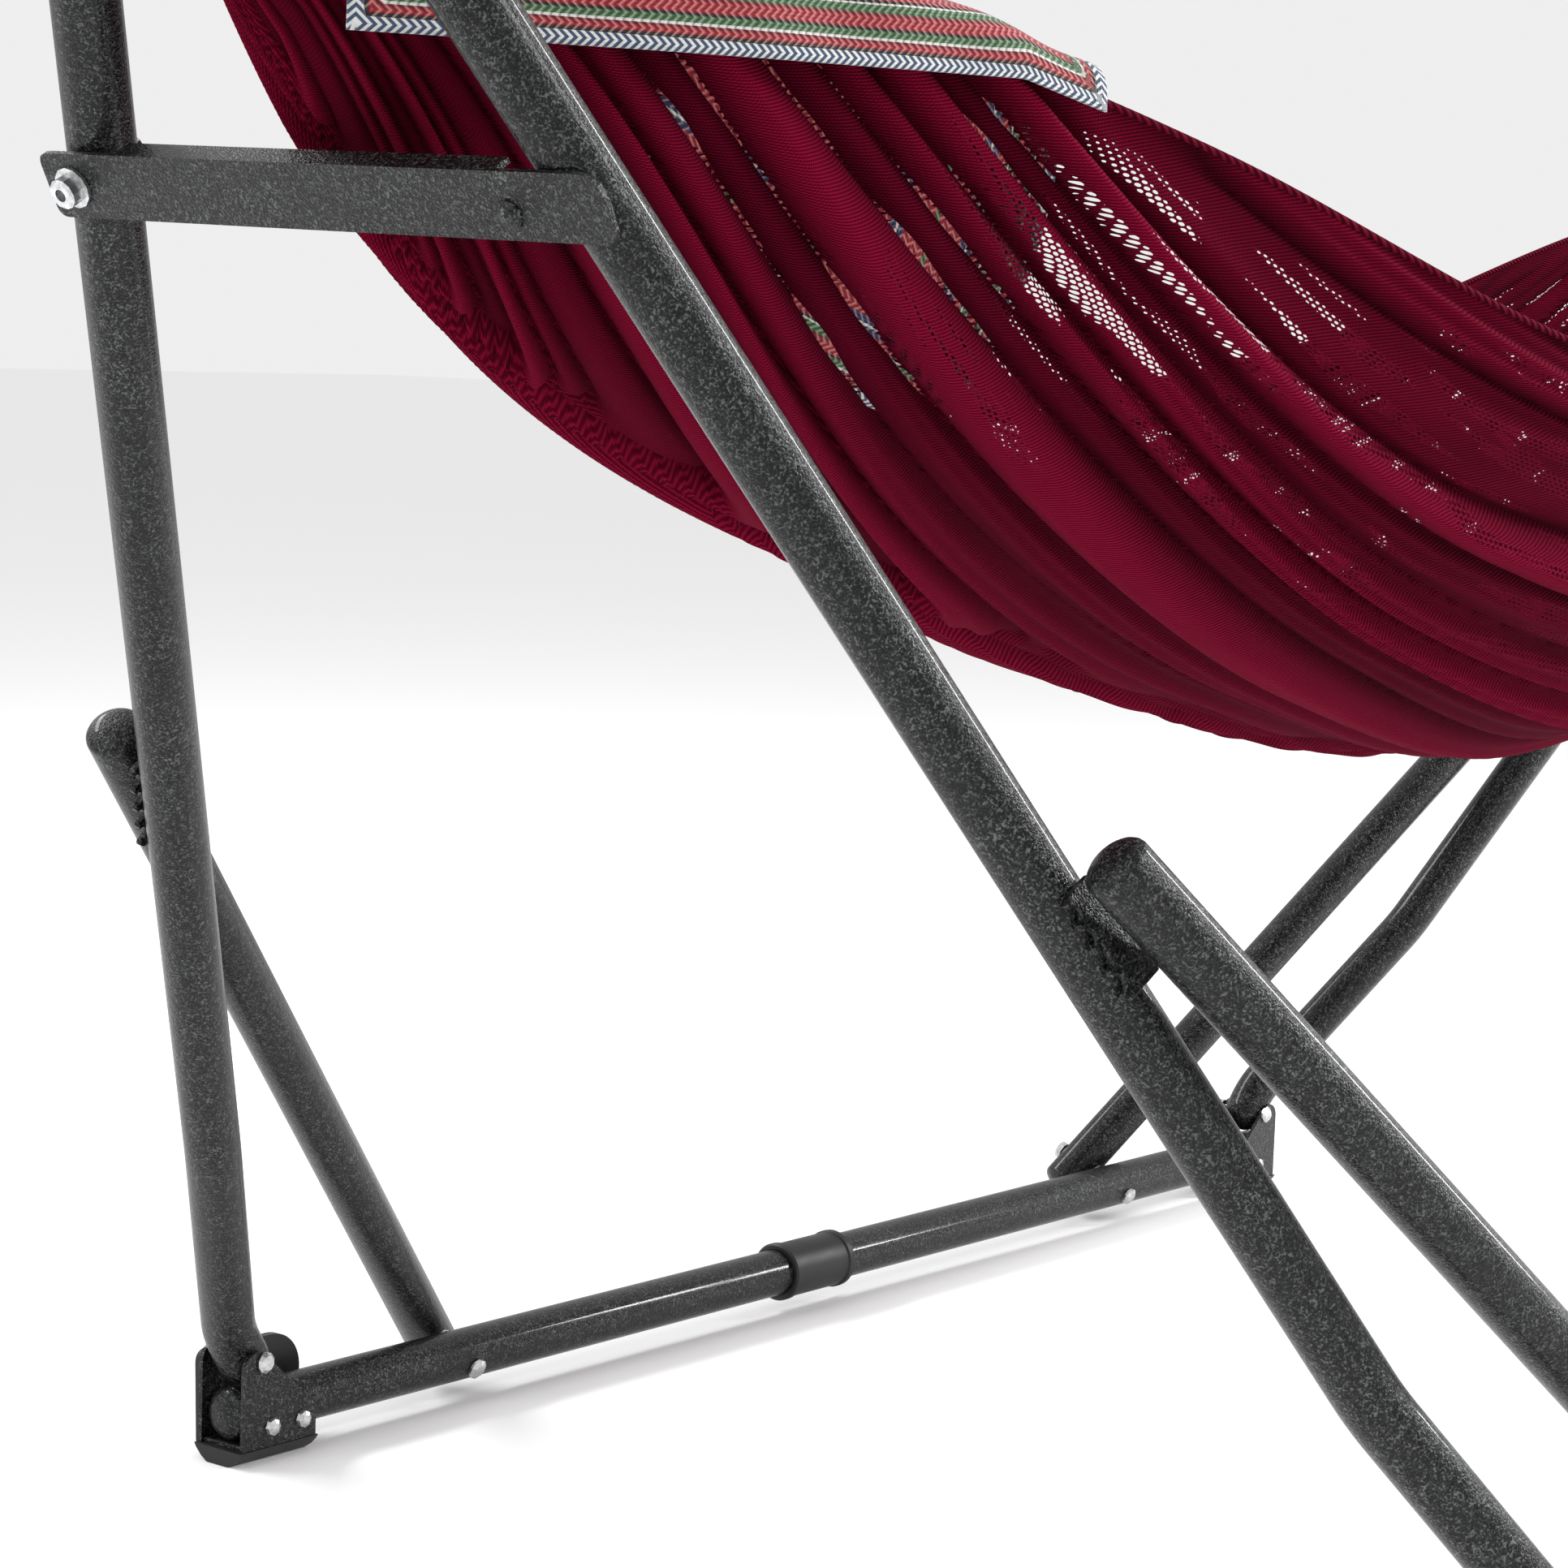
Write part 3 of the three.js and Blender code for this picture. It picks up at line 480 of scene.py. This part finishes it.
def domed_tube(points, radius, start_dome, end_dome, sides=40, bend=40):
    """A tube along points with elliptical ends standing past the first and last point."""
    path = fillet([Vector(p) for p in points], bend)
    first, last = (path[0] - path[1]).normalized(), (path[-1] - path[-2]).normalized()
    steps = 7
    head, tail = [], []
    for i in range(1, steps + 1):
        t = math.pi / 2 * i / steps
        tail.append((path[-1] + last * (end_dome * math.sin(t)), max(radius * math.cos(t), 0.02)))
        head.append((path[0] + first * (start_dome * math.sin(t)), max(radius * math.cos(t), 0.02)))
    line = list(reversed(head)) + [(p, radius) for p in path] + tail
    return sweep([p for p, _ in line], [r for _, r in line], sides)


def bored(piece, holes):
    """Cuts round holes, each (point, direction, radius, half length) in millimetres, and keeps the result."""
    cutters = []
    for at, direction, radius, half in holes:
        profile = [(0, -half), (radius, -half), (radius, half), (0, half)]
        verts, faces = lathe(profile, at, direction, 24)
        mesh = bpy.data.meshes.new("cutter")
        mesh.from_pydata([tuple(p * MM) for p in verts], [], faces)
        tool = bpy.data.objects.new("cutter", mesh)
        scene.collection.objects.link(tool)
        cutters.append(tool)
        modifier = piece.modifiers.new("bore", "BOOLEAN")
        modifier.operation = "DIFFERENCE"
        modifier.object = tool
        modifier.solver = "EXACT"
    return keep(piece, cutters)


def keep(piece, spare=()):
    """Replaces a piece's mesh by what its modifiers make of it."""
    graph = bpy.context.evaluated_depsgraph_get()
    mesh = bpy.data.meshes.new_from_object(piece.evaluated_get(graph))
    piece.modifiers.clear()
    piece.data = mesh
    for tool in spare:
        bpy.data.objects.remove(tool)
    return piece


# ---------- carried-over CAD nodes: softened edges and finishes ----------
BEVELS = {"foot_bracket": 0.7, "foot_pad": 1.0, "foot_bolt": 0.5, "foot_screw": 0.4, "strut_bolt": 0.5,
          "brace_bolt": 0.6, "rail_spigot": 0.3}


def soften(node, width):
    flat = node.modifiers.new("flat", "DECIMATE")
    flat.decimate_type = "DISSOLVE"
    flat.angle_limit = math.radians(0.5)
    edge = node.modifiers.new("edge", "BEVEL")
    edge.width = width * MM
    edge.segments = 3
    edge.limit_method = "ANGLE"
    edge.angle_limit = math.radians(40)


for row in frame["record"]["subparts"]:
    node = frame["nodes"][row["node"]]
    node.data.materials.clear()
    node.data.materials.append(FINISHES[row["material_slot"]])
    for kind, width in BEVELS.items():
        if row["node"].startswith(kind):
            soften(node, width)


# ---------- base rails ----------
for side, sy in FLANKS:
    for end, x0, x1 in (("left", -RAIL_END_X, RAIL_JOINT_X - GAP), ("right", RAIL_JOINT_X + GAP, RAIL_END_X)):
        length, inside, lip = x1 - x0, TUBE_R - WALL, 0.7
        profile = [(inside, 0), (TUBE_R - lip, 0), (TUBE_R, lip), (TUBE_R, length - lip)]
        profile += [(TUBE_R - lip, length), (inside, length)]
        verts, faces = lathe(profile, (x0, sy * RAIL_Y, RAIL_Z), (1, 0, 0), 48, True)
        rail = make(f"rail_{end}_{side}_tube", verts, faces, POWDER, BASE, [f"rail_{end}_{side}"], "powder")
        sx = -1 if end == "left" else 1
        bored(rail, [((sx * STRUT_X, sy * RAIL_Y, RAIL_Z), mirror(TILT, 1, sy), HOLE_R, BORE_HALF)])
        shade(rail.data)
    length, outer = COLLAR
    x0 = RAIL_JOINT_X - length / 2
    inner, raised, sunk = TUBE_R + GAP, outer + 0.6, outer - 0.6
    start = [(inner, 0), (outer - 1.0, 0), (raised, 1.4), (raised, 6), (sunk, 7.5)]
    bead = start + [(radius, length - along) for radius, along in reversed(start)]
    verts, faces = lathe(bead, (x0, sy * RAIL_Y, RAIL_Z), (1, 0, 0), 56, True)
    make(f"collar_{side}", verts, faces, PLASTIC, BASE, [f"rail_collar_{side}"], "plastic")

# ---------- the two folding ends ----------
for end, sx in ENDS:
    arms = f"{end}_arms"
    for side, sy in FLANKS:
        tag = f"{end}_{side}"
        inside = TUBE_R - WALL - GAP
        profile = [(0, -PLUG_DEPTH), (inside, -PLUG_DEPTH), (inside, GAP)] + dome(TUBE_R, END_DOME, GAP)
        verts, faces = lathe(profile, (sx * RAIL_END_X, sy * RAIL_Y, RAIL_Z), (sx, 0, 0))
        make(f"end_plug_{tag}", verts, faces, POWDER, BASE, [f"rail_plug_{tag}"], "plastic")

        points = [mirror(p, sx, sy) for p in (PIVOT, FOOT_TOP, KNEE, ARM_TOP)]
        verts, faces = domed_tube(points, TUBE_R, TUBE_R - 0.4, 0.2, 48, 14)
        tube = make(f"arm_{tag}_tube", verts, faces, POWDER, arms, [f"arm_{tag}"], "powder")
        holes = [(mirror(PIVOT, sx, sy), (0, 1, 0), HOLE_R, BORE_HALF)]
        if side == "far":
            holes.append((mirror(arm_point(BRACE_U), sx, sy), mirror(outward, sx, 1), HOLE_R, BORE_HALF))
        bored(tube, holes)
        shade(tube.data)

        low = strut_pivot - STRUT_DIR * STRUT_TAIL
        high = strut_pivot + STRUT_DIR * STRUT_LENGTH
        ends = [mirror(low, sx, sy), mirror(high, sx, sy)]
        verts, faces = domed_tube(ends, TUBE_R, END_DOME, END_DOME, 48)
        strut = make(f"strut_{tag}_tube", verts, faces, POWDER, f"strut_{tag}", [f"strut_{tag}"], "powder")
        bored(strut, [(mirror(strut_pivot, sx, sy), mirror(TILT, 1, sy), HOLE_R, BORE_HALF)])
        shade(strut.data)
        pin_at = strut_pivot + STRUT_DIR * (STRUT_LENGTH - PIN_DOWN)
        reach, lip = TUBE_R + PIN_OUT, 0.8
        profile = [(0, 0), (STRUT_PIN_R, 0), (STRUT_PIN_R, reach - lip), (STRUT_PIN_R - lip, reach)]
        profile.append((0, reach))
        verts, faces = lathe(profile, mirror(pin_at, sx, sy), mirror(-TILT, 1, sy), 24)
        make(f"strut_pin_{tag}", verts, faces, ZINC, f"strut_{tag}", (), "zinc")

# ---------- brackets, braces and heads ----------
def joined(*parts):
    verts, faces = [], []
    for more, loops in parts:
        faces += [tuple(i + len(verts) for i in loop) for loop in loops]
        verts += [Vector(p) for p in more]
    return verts, faces


def extrude(outline, depth):
    """Verts and faces of a flat plate: outline in (x, y), from z = 0 to z = depth."""
    n = len(outline)
    verts = [Vector((x, y, z)) for z in (0, depth) for x, y in outline]
    faces = [tuple(reversed(range(n))), tuple(range(n, 2 * n))]
    faces += [(k, (k + 1) % n, n + (k + 1) % n, n + k) for k in range(n)]
    return verts, faces


def placed(shape, x_axis, y_axis, z_axis, at):
    verts, faces = shape
    return [Vector(at) + x_axis * p.x + y_axis * p.y + z_axis * p.z for p in verts], faces


def rounded(piece, width, segments=3):
    edge = piece.modifiers.new("edge", "BEVEL")
    edge.width = width * MM
    edge.segments = segments
    edge.limit_method = "ANGLE"
    edge.angle_limit = math.radians(32)
    keep(piece)
    shade(piece.data)
    return piece


def notch_outline():
    length, teeth = NOTCH_LENGTH, 4
    pitch = length / (teeth + 0.5)
    outline = [(-length / 2, -16), (length / 2 - 6, -16), (length / 2, -10), (length / 2, 6)]
    for i in range(teeth):
        start = length / 2 - 3 - i * pitch
        outline.append((start, 13))
        centre, radius = (start - pitch / 2, 11), pitch / 2 - 2.2
        for k in range(13):
            t = 0.15 - (math.pi + 0.3) * k / 12
            outline.append((centre[0] + radius * math.cos(t), centre[1] + radius * math.sin(t)))
    outline += [(-length / 2 + 3, 13), (-length / 2, 10)]
    return outline


def oval(centre, u, v, half, width, count=40):
    """Closed path of a link: two half circles of radius width, with straight sides between them."""
    path = []
    for i in range(count):
        t = 2 * math.pi * i / count
        stretch = half - width if math.cos(t) > 0 else width - half
        path.append(centre + u * (stretch + width * math.cos(t)) + v * (width * math.sin(t)))
    return path


def circle(centre, u, v, radius, count):
    angles = np.linspace(0, 2 * math.pi, count + 1)[:-1]
    return [centre + u * (radius * math.cos(t)) + v * (radius * math.sin(t)) for t in angles]


across = Vector((0, 1, 0))
side_way = (across - arm_up * across.dot(arm_up)).normalized()
inward = side_way.cross(arm_up).normalized()

for end, sx in ENDS:
    arms = f"{end}_arms"
    for side, sy in FLANKS:
        tag = f"{end}_{side}"
        at = arm_point(NOTCH_U) + side_way * (TUBE_R + GAP)
        shape = placed(extrude(notch_outline(), NOTCH_PLATE), arm_up, inward, side_way, at)
        shape = ([mirror(p, sx, sy) for p in shape[0]], shape[1])
        rounded(make(f"notches_{tag}", *shape, POWDER, arms, [f"notch_bracket_{tag}"], "powder"), 0.8)

    parts = []
    length, outer, inside, stop = SLEEVE_LENGTH, TUBE_R + SLEEVE_WALL, TUBE_R + GAP, ARM_IN_SLEEVE + 0.4
    profile = [(inside, 0), (outer - 1, 0), (outer, 1), (outer, length - 5), (outer - 1.5, length - 1.5)]
    profile += [(outer - 5, length), (0, length), (0, stop), (inside, stop)]
    for _, sy in FLANKS:
        start = mirror(ARM_TOP - arm_up * ARM_IN_SLEEVE, sx, sy)
        parts.append(lathe(profile, start, mirror(arm_up, sx, sy), 48))
    middle = ARM_TOP - arm_up * HEAD_BAR_DOWN
    parts.append(sweep([mirror(middle, sx, -1), mirror(middle, sx, 1)], [HEAD_BAR_R, HEAD_BAR_R], 32))
    eye_at = mirror(EYE, sx, 1)
    eye_path = circle(eye_at, Vector((1, 0, 0)), Vector((0, 0, 1)), EYE_R, 40)
    parts.append(sweep(eye_path, [EYE_WIRE_R] * len(eye_path), 16, True))
    make(f"head_{end}_tubes", *joined(*parts), POWDER, arms, [f"head_{end}"], "powder")

    down = mirror(hang, sx, 1)
    link = oval(eye_at + down * LINK_DOWN, down, across, LINK_HALF, LINK_R)
    gate_path = [eye_at + down * (LINK_DOWN + d) + across * LINK_R for d in (-9, -8, 8, 9)]
    gate = sweep(gate_path, [4.2, 5, 5, 4.2], 20)
    ring = sweep(link, [LINK_WIRE_R] * len(link), 16, True)
    make(f"snap_link_{end}", *joined(ring, gate), ZINC, "hammock", [f"carabiner_{end}"], "zinc")

    loop_at = eye_at + down * END_LOOP_DOWN
    loop_path = circle(loop_at, down, down.cross(across), END_LOOP_R, 36)
    loop = sweep(loop_path, [END_LOOP_CORD_R] * len(loop_path), 16, True)
    profile = [(0, 0), (6.5, 0)]
    turns = 6
    for i in range(turns * 6 + 1):
        t = i / (turns * 6)
        profile.append((7.6 + 6 * t + 1.1 * abs(math.sin(math.pi * turns * t)), 1 + 24 * t))
    profile += [(12.5, 26), (0, 26)]
    neck = lathe(profile, loop_at + down * 11, down, 36)
    make(f"end_loop_{end}", *joined(loop, neck), CORD, "hammock", [f"end_cord_{end}"], "cord", 60)
    soften(frame["nodes"][f"brace_{end}"], 0.9)

# ---------- the hammock's cloth ----------
BOTTOM = ((-330, 530), (0, 478), (330, 530), (620, 616), (870, 706), (1010, 792), (1150, 930))
EDGE = ((-330, 758), (0, 715), (330, 758), (620, 850), (870, 915), (1010, 938), (1150, 956))
HALF = ((-330, 278), (0, 300), (330, 278), (620, 215), (870, 142), (1010, 88), (1150, 16))
CLOTH_ROWS, CLOTH_COLUMNS = 560, 300
CLOTH_WIDTH, CLOTH_LENGTH, CLOTH_AREA = 1.25, 2.45, 2.2
HEM_R = 2.0
THROW_X = (-1105, -712)
THROW_HEM_Z = 879
THROW_WALL = 2.4
THROW_ROWS = 120
CREST, INSIDE_LIFT = 15, 12


def smooth_line(points, samples=90):
    """Values along a smooth curve through points, to be read by x."""
    xs, ys = [], []
    last = len(points) - 1
    for i in range(last):
        p0, p1, p2, p3 = points[max(i - 1, 0)], points[i], points[i + 1], points[min(i + 2, last)]
        for k in range(samples + (i == last - 1)):
            t = k / samples
            values = []
            for axis in (0, 1):
                a, b = (p2[axis] - p0[axis]) / 2, (p3[axis] - p1[axis]) / 2
                gap = p1[axis] - p2[axis]
                values.append((2 * gap + a + b) * t**3 + (-3 * gap - 2 * a - b) * t**2 + a * t + p1[axis])
            xs.append(values[0])
            ys.append(values[1])
    return np.array(xs), np.array(ys)


LINES = {name: smooth_line(points) for name, points in (("bottom", BOTTOM), ("edge", EDGE), ("half", HALF))}


def line_at(name, x):
    return np.interp(np.abs(x), *LINES[name])


def cloth(x, angle):
    """Middle surface of the cloth, as arrays: angle 0 is its bottom, -90 and 90 degrees its edges."""
    edge = line_at("edge", x)
    depth = edge - line_at("bottom", x)
    return np.stack([x, line_at("half", x) * np.sin(angle), edge - depth * np.cos(angle)], -1)


def cloth_out(x, angle):
    """Outward direction of the cloth, across its length."""
    around = cloth(x, angle + 0.01) - cloth(x, angle - 0.01)
    out = np.stack([np.zeros_like(x), around[..., 2], -around[..., 1]], -1)
    return out / np.linalg.norm(out, axis=-1, keepdims=True)


def fold_shift(x):
    """How far a fold has moved from the edge towards the bottom by the time that it comes to x."""
    far = np.clip(np.abs(x), 0, 1100) / 900
    start = 1100 / 900
    inner = np.clip(far - 0.22, 0, None)
    return 0.14 * (start - far) + 1.02 * ((start - 0.22) ** 3 - inner**3)


def pleats(x, s):
    """Height of the folds from 0 in a valley to 1 on a ridge, for s from -1 to 1 across the cloth."""
    far_offset = np.where(s > 0, 0.37, 0.0) * np.clip(np.abs(s) / 0.1, 0, 1)
    side = np.sqrt(s**2 + 0.0016) + fold_shift(x) + far_offset
    drift = 0.030 * np.sin(2.6 * x / 1000 + 5 * side) + 0.016 * np.sin(6.3 * x / 1000 + 1.0 + 9 * side)
    warp = side + drift + 0.022 * np.sin(11 * side + 0.6) + 0.012 * np.sin(27 * side + 1.9)
    phase = 10.5 * warp
    index = np.floor(phase)
    share = phase - index
    ridge = np.sin(math.pi * share**0.8) ** 0.7
    size = 0.64 + 0.36 * np.sin(index * 2.399 + 1.3 * x / 1000 + 0.4)
    fine = 0.5 + 0.5 * np.sin(2 * math.pi * 31 * warp + 2.2 * np.sin(3 * x / 1000 + 6 * side))
    fine_size = 0.13 + 0.08 * np.sin(index * 1.3 + 2.4 * x / 1000)
    fine_size = fine_size * np.clip((900 - np.abs(x)) / 500, 0.1, 1)
    return np.clip(ridge * size * (1 - fine_size) + fine_size * fine, 0, 1)


def grid_faces(rows, columns):
    index = np.arange(rows * columns).reshape(rows, columns)
    quads = np.stack([index[:-1, :-1], index[1:, :-1], index[1:, 1:], index[:-1, 1:]], -1)
    return quads.reshape(-1, 4).tolist()


def cloth_piece(name, points, uv, values, material, body, nodes, thick):
    """A sheet from a grid of points in metres, with its UV map in metres and values for each point."""
    rows, columns = points.shape[:2]
    mesh = bpy.data.meshes.new(name)
    mesh.from_pydata(points.reshape(-1, 3).tolist(), [], grid_faces(rows, columns))
    layer = mesh.uv_layers.new(name="UVMap")
    corners = np.zeros(len(mesh.loops), dtype=np.int32)
    mesh.loops.foreach_get("vertex_index", corners)
    layer.data.foreach_set("uv", uv.reshape(-1, 2)[corners].astype(np.float32).ravel())
    for label, data in values.items():
        attribute = mesh.attributes.new(label, "FLOAT", "POINT")
        attribute.data.foreach_set("value", data.reshape(-1).astype(np.float32))
    piece = bpy.data.objects.new(name, mesh)
    scene.collection.objects.link(piece)
    mesh.materials.append(material)
    for polygon in mesh.polygons:
        polygon.use_smooth = True
    if thick:
        wall = piece.modifiers.new("wall", "SOLIDIFY")
        wall.thickness = thick * MM
        wall.offset = 0
        keep(piece)
    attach(piece, body)
    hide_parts(*nodes)
    return piece


t = np.linspace(-1, 1, CLOTH_ROWS)
x = CLOTH_END_X * (0.55 * t + 0.45 * np.sin(math.pi / 2 * t))
s = np.linspace(-1, 1, CLOTH_COLUMNS)
X, S = np.meshgrid(x, s, indexing="ij")
angle = S * math.pi / 2
fold = pleats(X, S)
half = line_at("half", X)
depth = np.minimum(13.5, 3.4 + 0.07 * half) * np.clip((half - 8) / 60, 0.35, 1)
middle_ease = 0.72 + 0.28 * np.clip(np.abs(X) / 700, 0, 1)
border = np.clip((1 - np.abs(S)) / 0.03, 0, 1)
lift = (fold - 0.55) * 2 * depth * middle_ease * border
points = cloth(X, angle) + cloth_out(X, angle) * lift[..., None]
along = np.concatenate([[0], np.cumsum(np.abs(np.diff(x)))]) / 1000
spread = (s + 1)[None, :] * CLOTH_WIDTH / 2
uv = np.stack([np.broadcast_to(along[:, None], X.shape), np.broadcast_to(spread, X.shape)], -1)
flow = np.abs(S) + fold_shift(X) + np.where(S > 0, 5.0, 0.0)
slack = np.clip((np.abs(S) - 0.42) / 0.12, 0, 1) * np.clip((0.97 - np.abs(S)) / 0.06, 0, 1)
slack *= np.clip((850 - np.abs(X)) / 120, 0, 1) * np.clip((fold - 0.18) / 0.25, 0, 1)
values = {"fold": fold, "slack": slack, "flow": flow}
hammock = cloth_piece("hammock_cloth", points * MM, uv, values, COTTON, "hammock", ["hammock"], 0.0)

for way in (-1, 1):
    edge_line = cloth(x, np.full_like(x, way * math.pi / 2))
    path = [Vector(p) for p in edge_line[4:-4:4]]
    verts, faces = sweep(path, [HEM_R] * len(path), 12)
    hem = make(f"hem_{'near' if way < 0 else 'far'}", verts, faces, CORD, "hammock", (), "cotton", 80)

# ---------- the throw over the near edge ----------
def throw_lines(xs, hem_columns=14, crest_columns=18, inside_columns=60):
    """Rows of points from the hem up the outside, over the crest and down the inside, for each x."""
    edge = cloth(xs, np.full_like(xs, -math.pi / 2))
    drop = np.maximum(edge[:, 2] - THROW_HEM_Z, 10)
    lines = []
    for i in range(hem_columns):
        share = 1 - i / hem_columns
        lines.append(np.stack([xs, edge[:, 1] - CREST, edge[:, 2] - drop * share], -1))
    for i in range(crest_columns):
        bend = math.pi * (1 - i / crest_columns)
        out, up = CREST * math.cos(bend), CREST * math.sin(bend)
        lines.append(np.stack([xs, edge[:, 1] + out, edge[:, 2] + up], -1))
    for i in range(inside_columns + 1):
        angles = np.full_like(xs, -math.pi / 2 + 0.95 * i / inside_columns)
        lift = CREST - (CREST - INSIDE_LIFT) * min(1, i / (inside_columns * 0.2))
        lines.append(cloth(xs, angles) - cloth_out(xs, angles) * lift)
    return np.stack(lines, 1)


xs = np.linspace(THROW_X[0], THROW_X[1], THROW_ROWS)
grid = throw_lines(xs)
steps = np.linalg.norm(np.diff(grid, axis=1), axis=-1)
down = np.concatenate([np.zeros((len(xs), 1)), np.cumsum(steps, 1)], 1)
run = np.broadcast_to((xs - xs[0])[:, None], down.shape)
total = down[:, -1:]
throw_length = xs[-1] - xs[0]
from_hem, from_side = np.minimum(down, total - down), np.minimum(run, throw_length - run)
crumple = 1.3 * np.sin(run / 23 + down / 60) + 0.8 * np.sin(run / 11 + 2 + down / 31)
ease = np.clip(down / 12, 0.25, 1)
normals = np.cross(np.gradient(grid, axis=0), np.gradient(grid, axis=1))
normals /= np.linalg.norm(normals, axis=-1, keepdims=True)
grid = grid + normals * (crumple * ease)[..., None]
uv = np.stack([run, down], -1) / 1000
border_gap = np.minimum(from_hem, from_side)
values = {"border": border_gap / 1000, "run": np.where(from_side < from_hem, down, run) / 1000}
throw = cloth_piece("throw_cloth", grid * MM, uv, values, SERAPE, "hammock", ["throw"], THROW_WALL)

# ---------- the hammock's pieces get meshes of their own ----------------------
for name in ("hammock_cloth", "throw_cloth", "hem_near", "hem_far", "snap_link_left", "snap_link_right",
             "end_loop_left", "end_loop_right"):
    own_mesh(bpy.data.objects[name])

# ---------- stage and light ----------
FLOOR_HALF = 30
WORLD_STRENGTH = 0.86
floor_mesh = bpy.data.meshes.new("floor")
corners = [(x * FLOOR_HALF, y * FLOOR_HALF, 0) for x, y in ((-1, -1), (1, -1), (1, 1), (-1, 1))]
floor_mesh.from_pydata(corners, [], [(0, 1, 2, 3)])
floor = bpy.data.objects.new("floor", floor_mesh)
scene.collection.objects.link(floor)
pale, tree, shader = new_material("pale_floor", Roughness=0.9)
shader.inputs["Base Color"].default_value = (0.93, 0.93, 0.93, 1)
floor_mesh.materials.append(pale)

world = bpy.data.worlds.new("studio")
world.use_nodes = True
background = world.node_tree.nodes["Background"]
background.inputs[0].default_value = (1, 1, 1, 1)
background.inputs[1].default_value = WORLD_STRENGTH
scene.world = world
scene.view_settings.view_transform = "Standard"
scene.view_settings.look = "None"


def lamp(name, at, target, size, power):
    light = bpy.data.lights.new(name, "AREA")
    light.shape = "RECTANGLE"
    light.size, light.size_y = size
    light.energy = power
    lit = bpy.data.objects.new(name, light)
    lit.location = at
    lit.rotation_euler = (Vector(target) - Vector(at)).to_track_quat("-Z", "Y").to_euler()
    scene.collection.objects.link(lit)


lamp("key", (0.2, -3.0, 3.4), (-0.3, 0, 0.6), (1.6, 1.6), 90)
lamp("rim", (3.0, -1.7, 2.5), (-0.5, 0, 0.6), (0.22, 2.6), 190)
lamp("back", (-1.2, 2.8, 2.6), (-0.3, 0, 0.5), (2.4, 0.4), 70)
lamp("fill", (-3.6, 0.5, 2.0), (-0.3, 0, 0.6), (2.0, 2.0), 22)
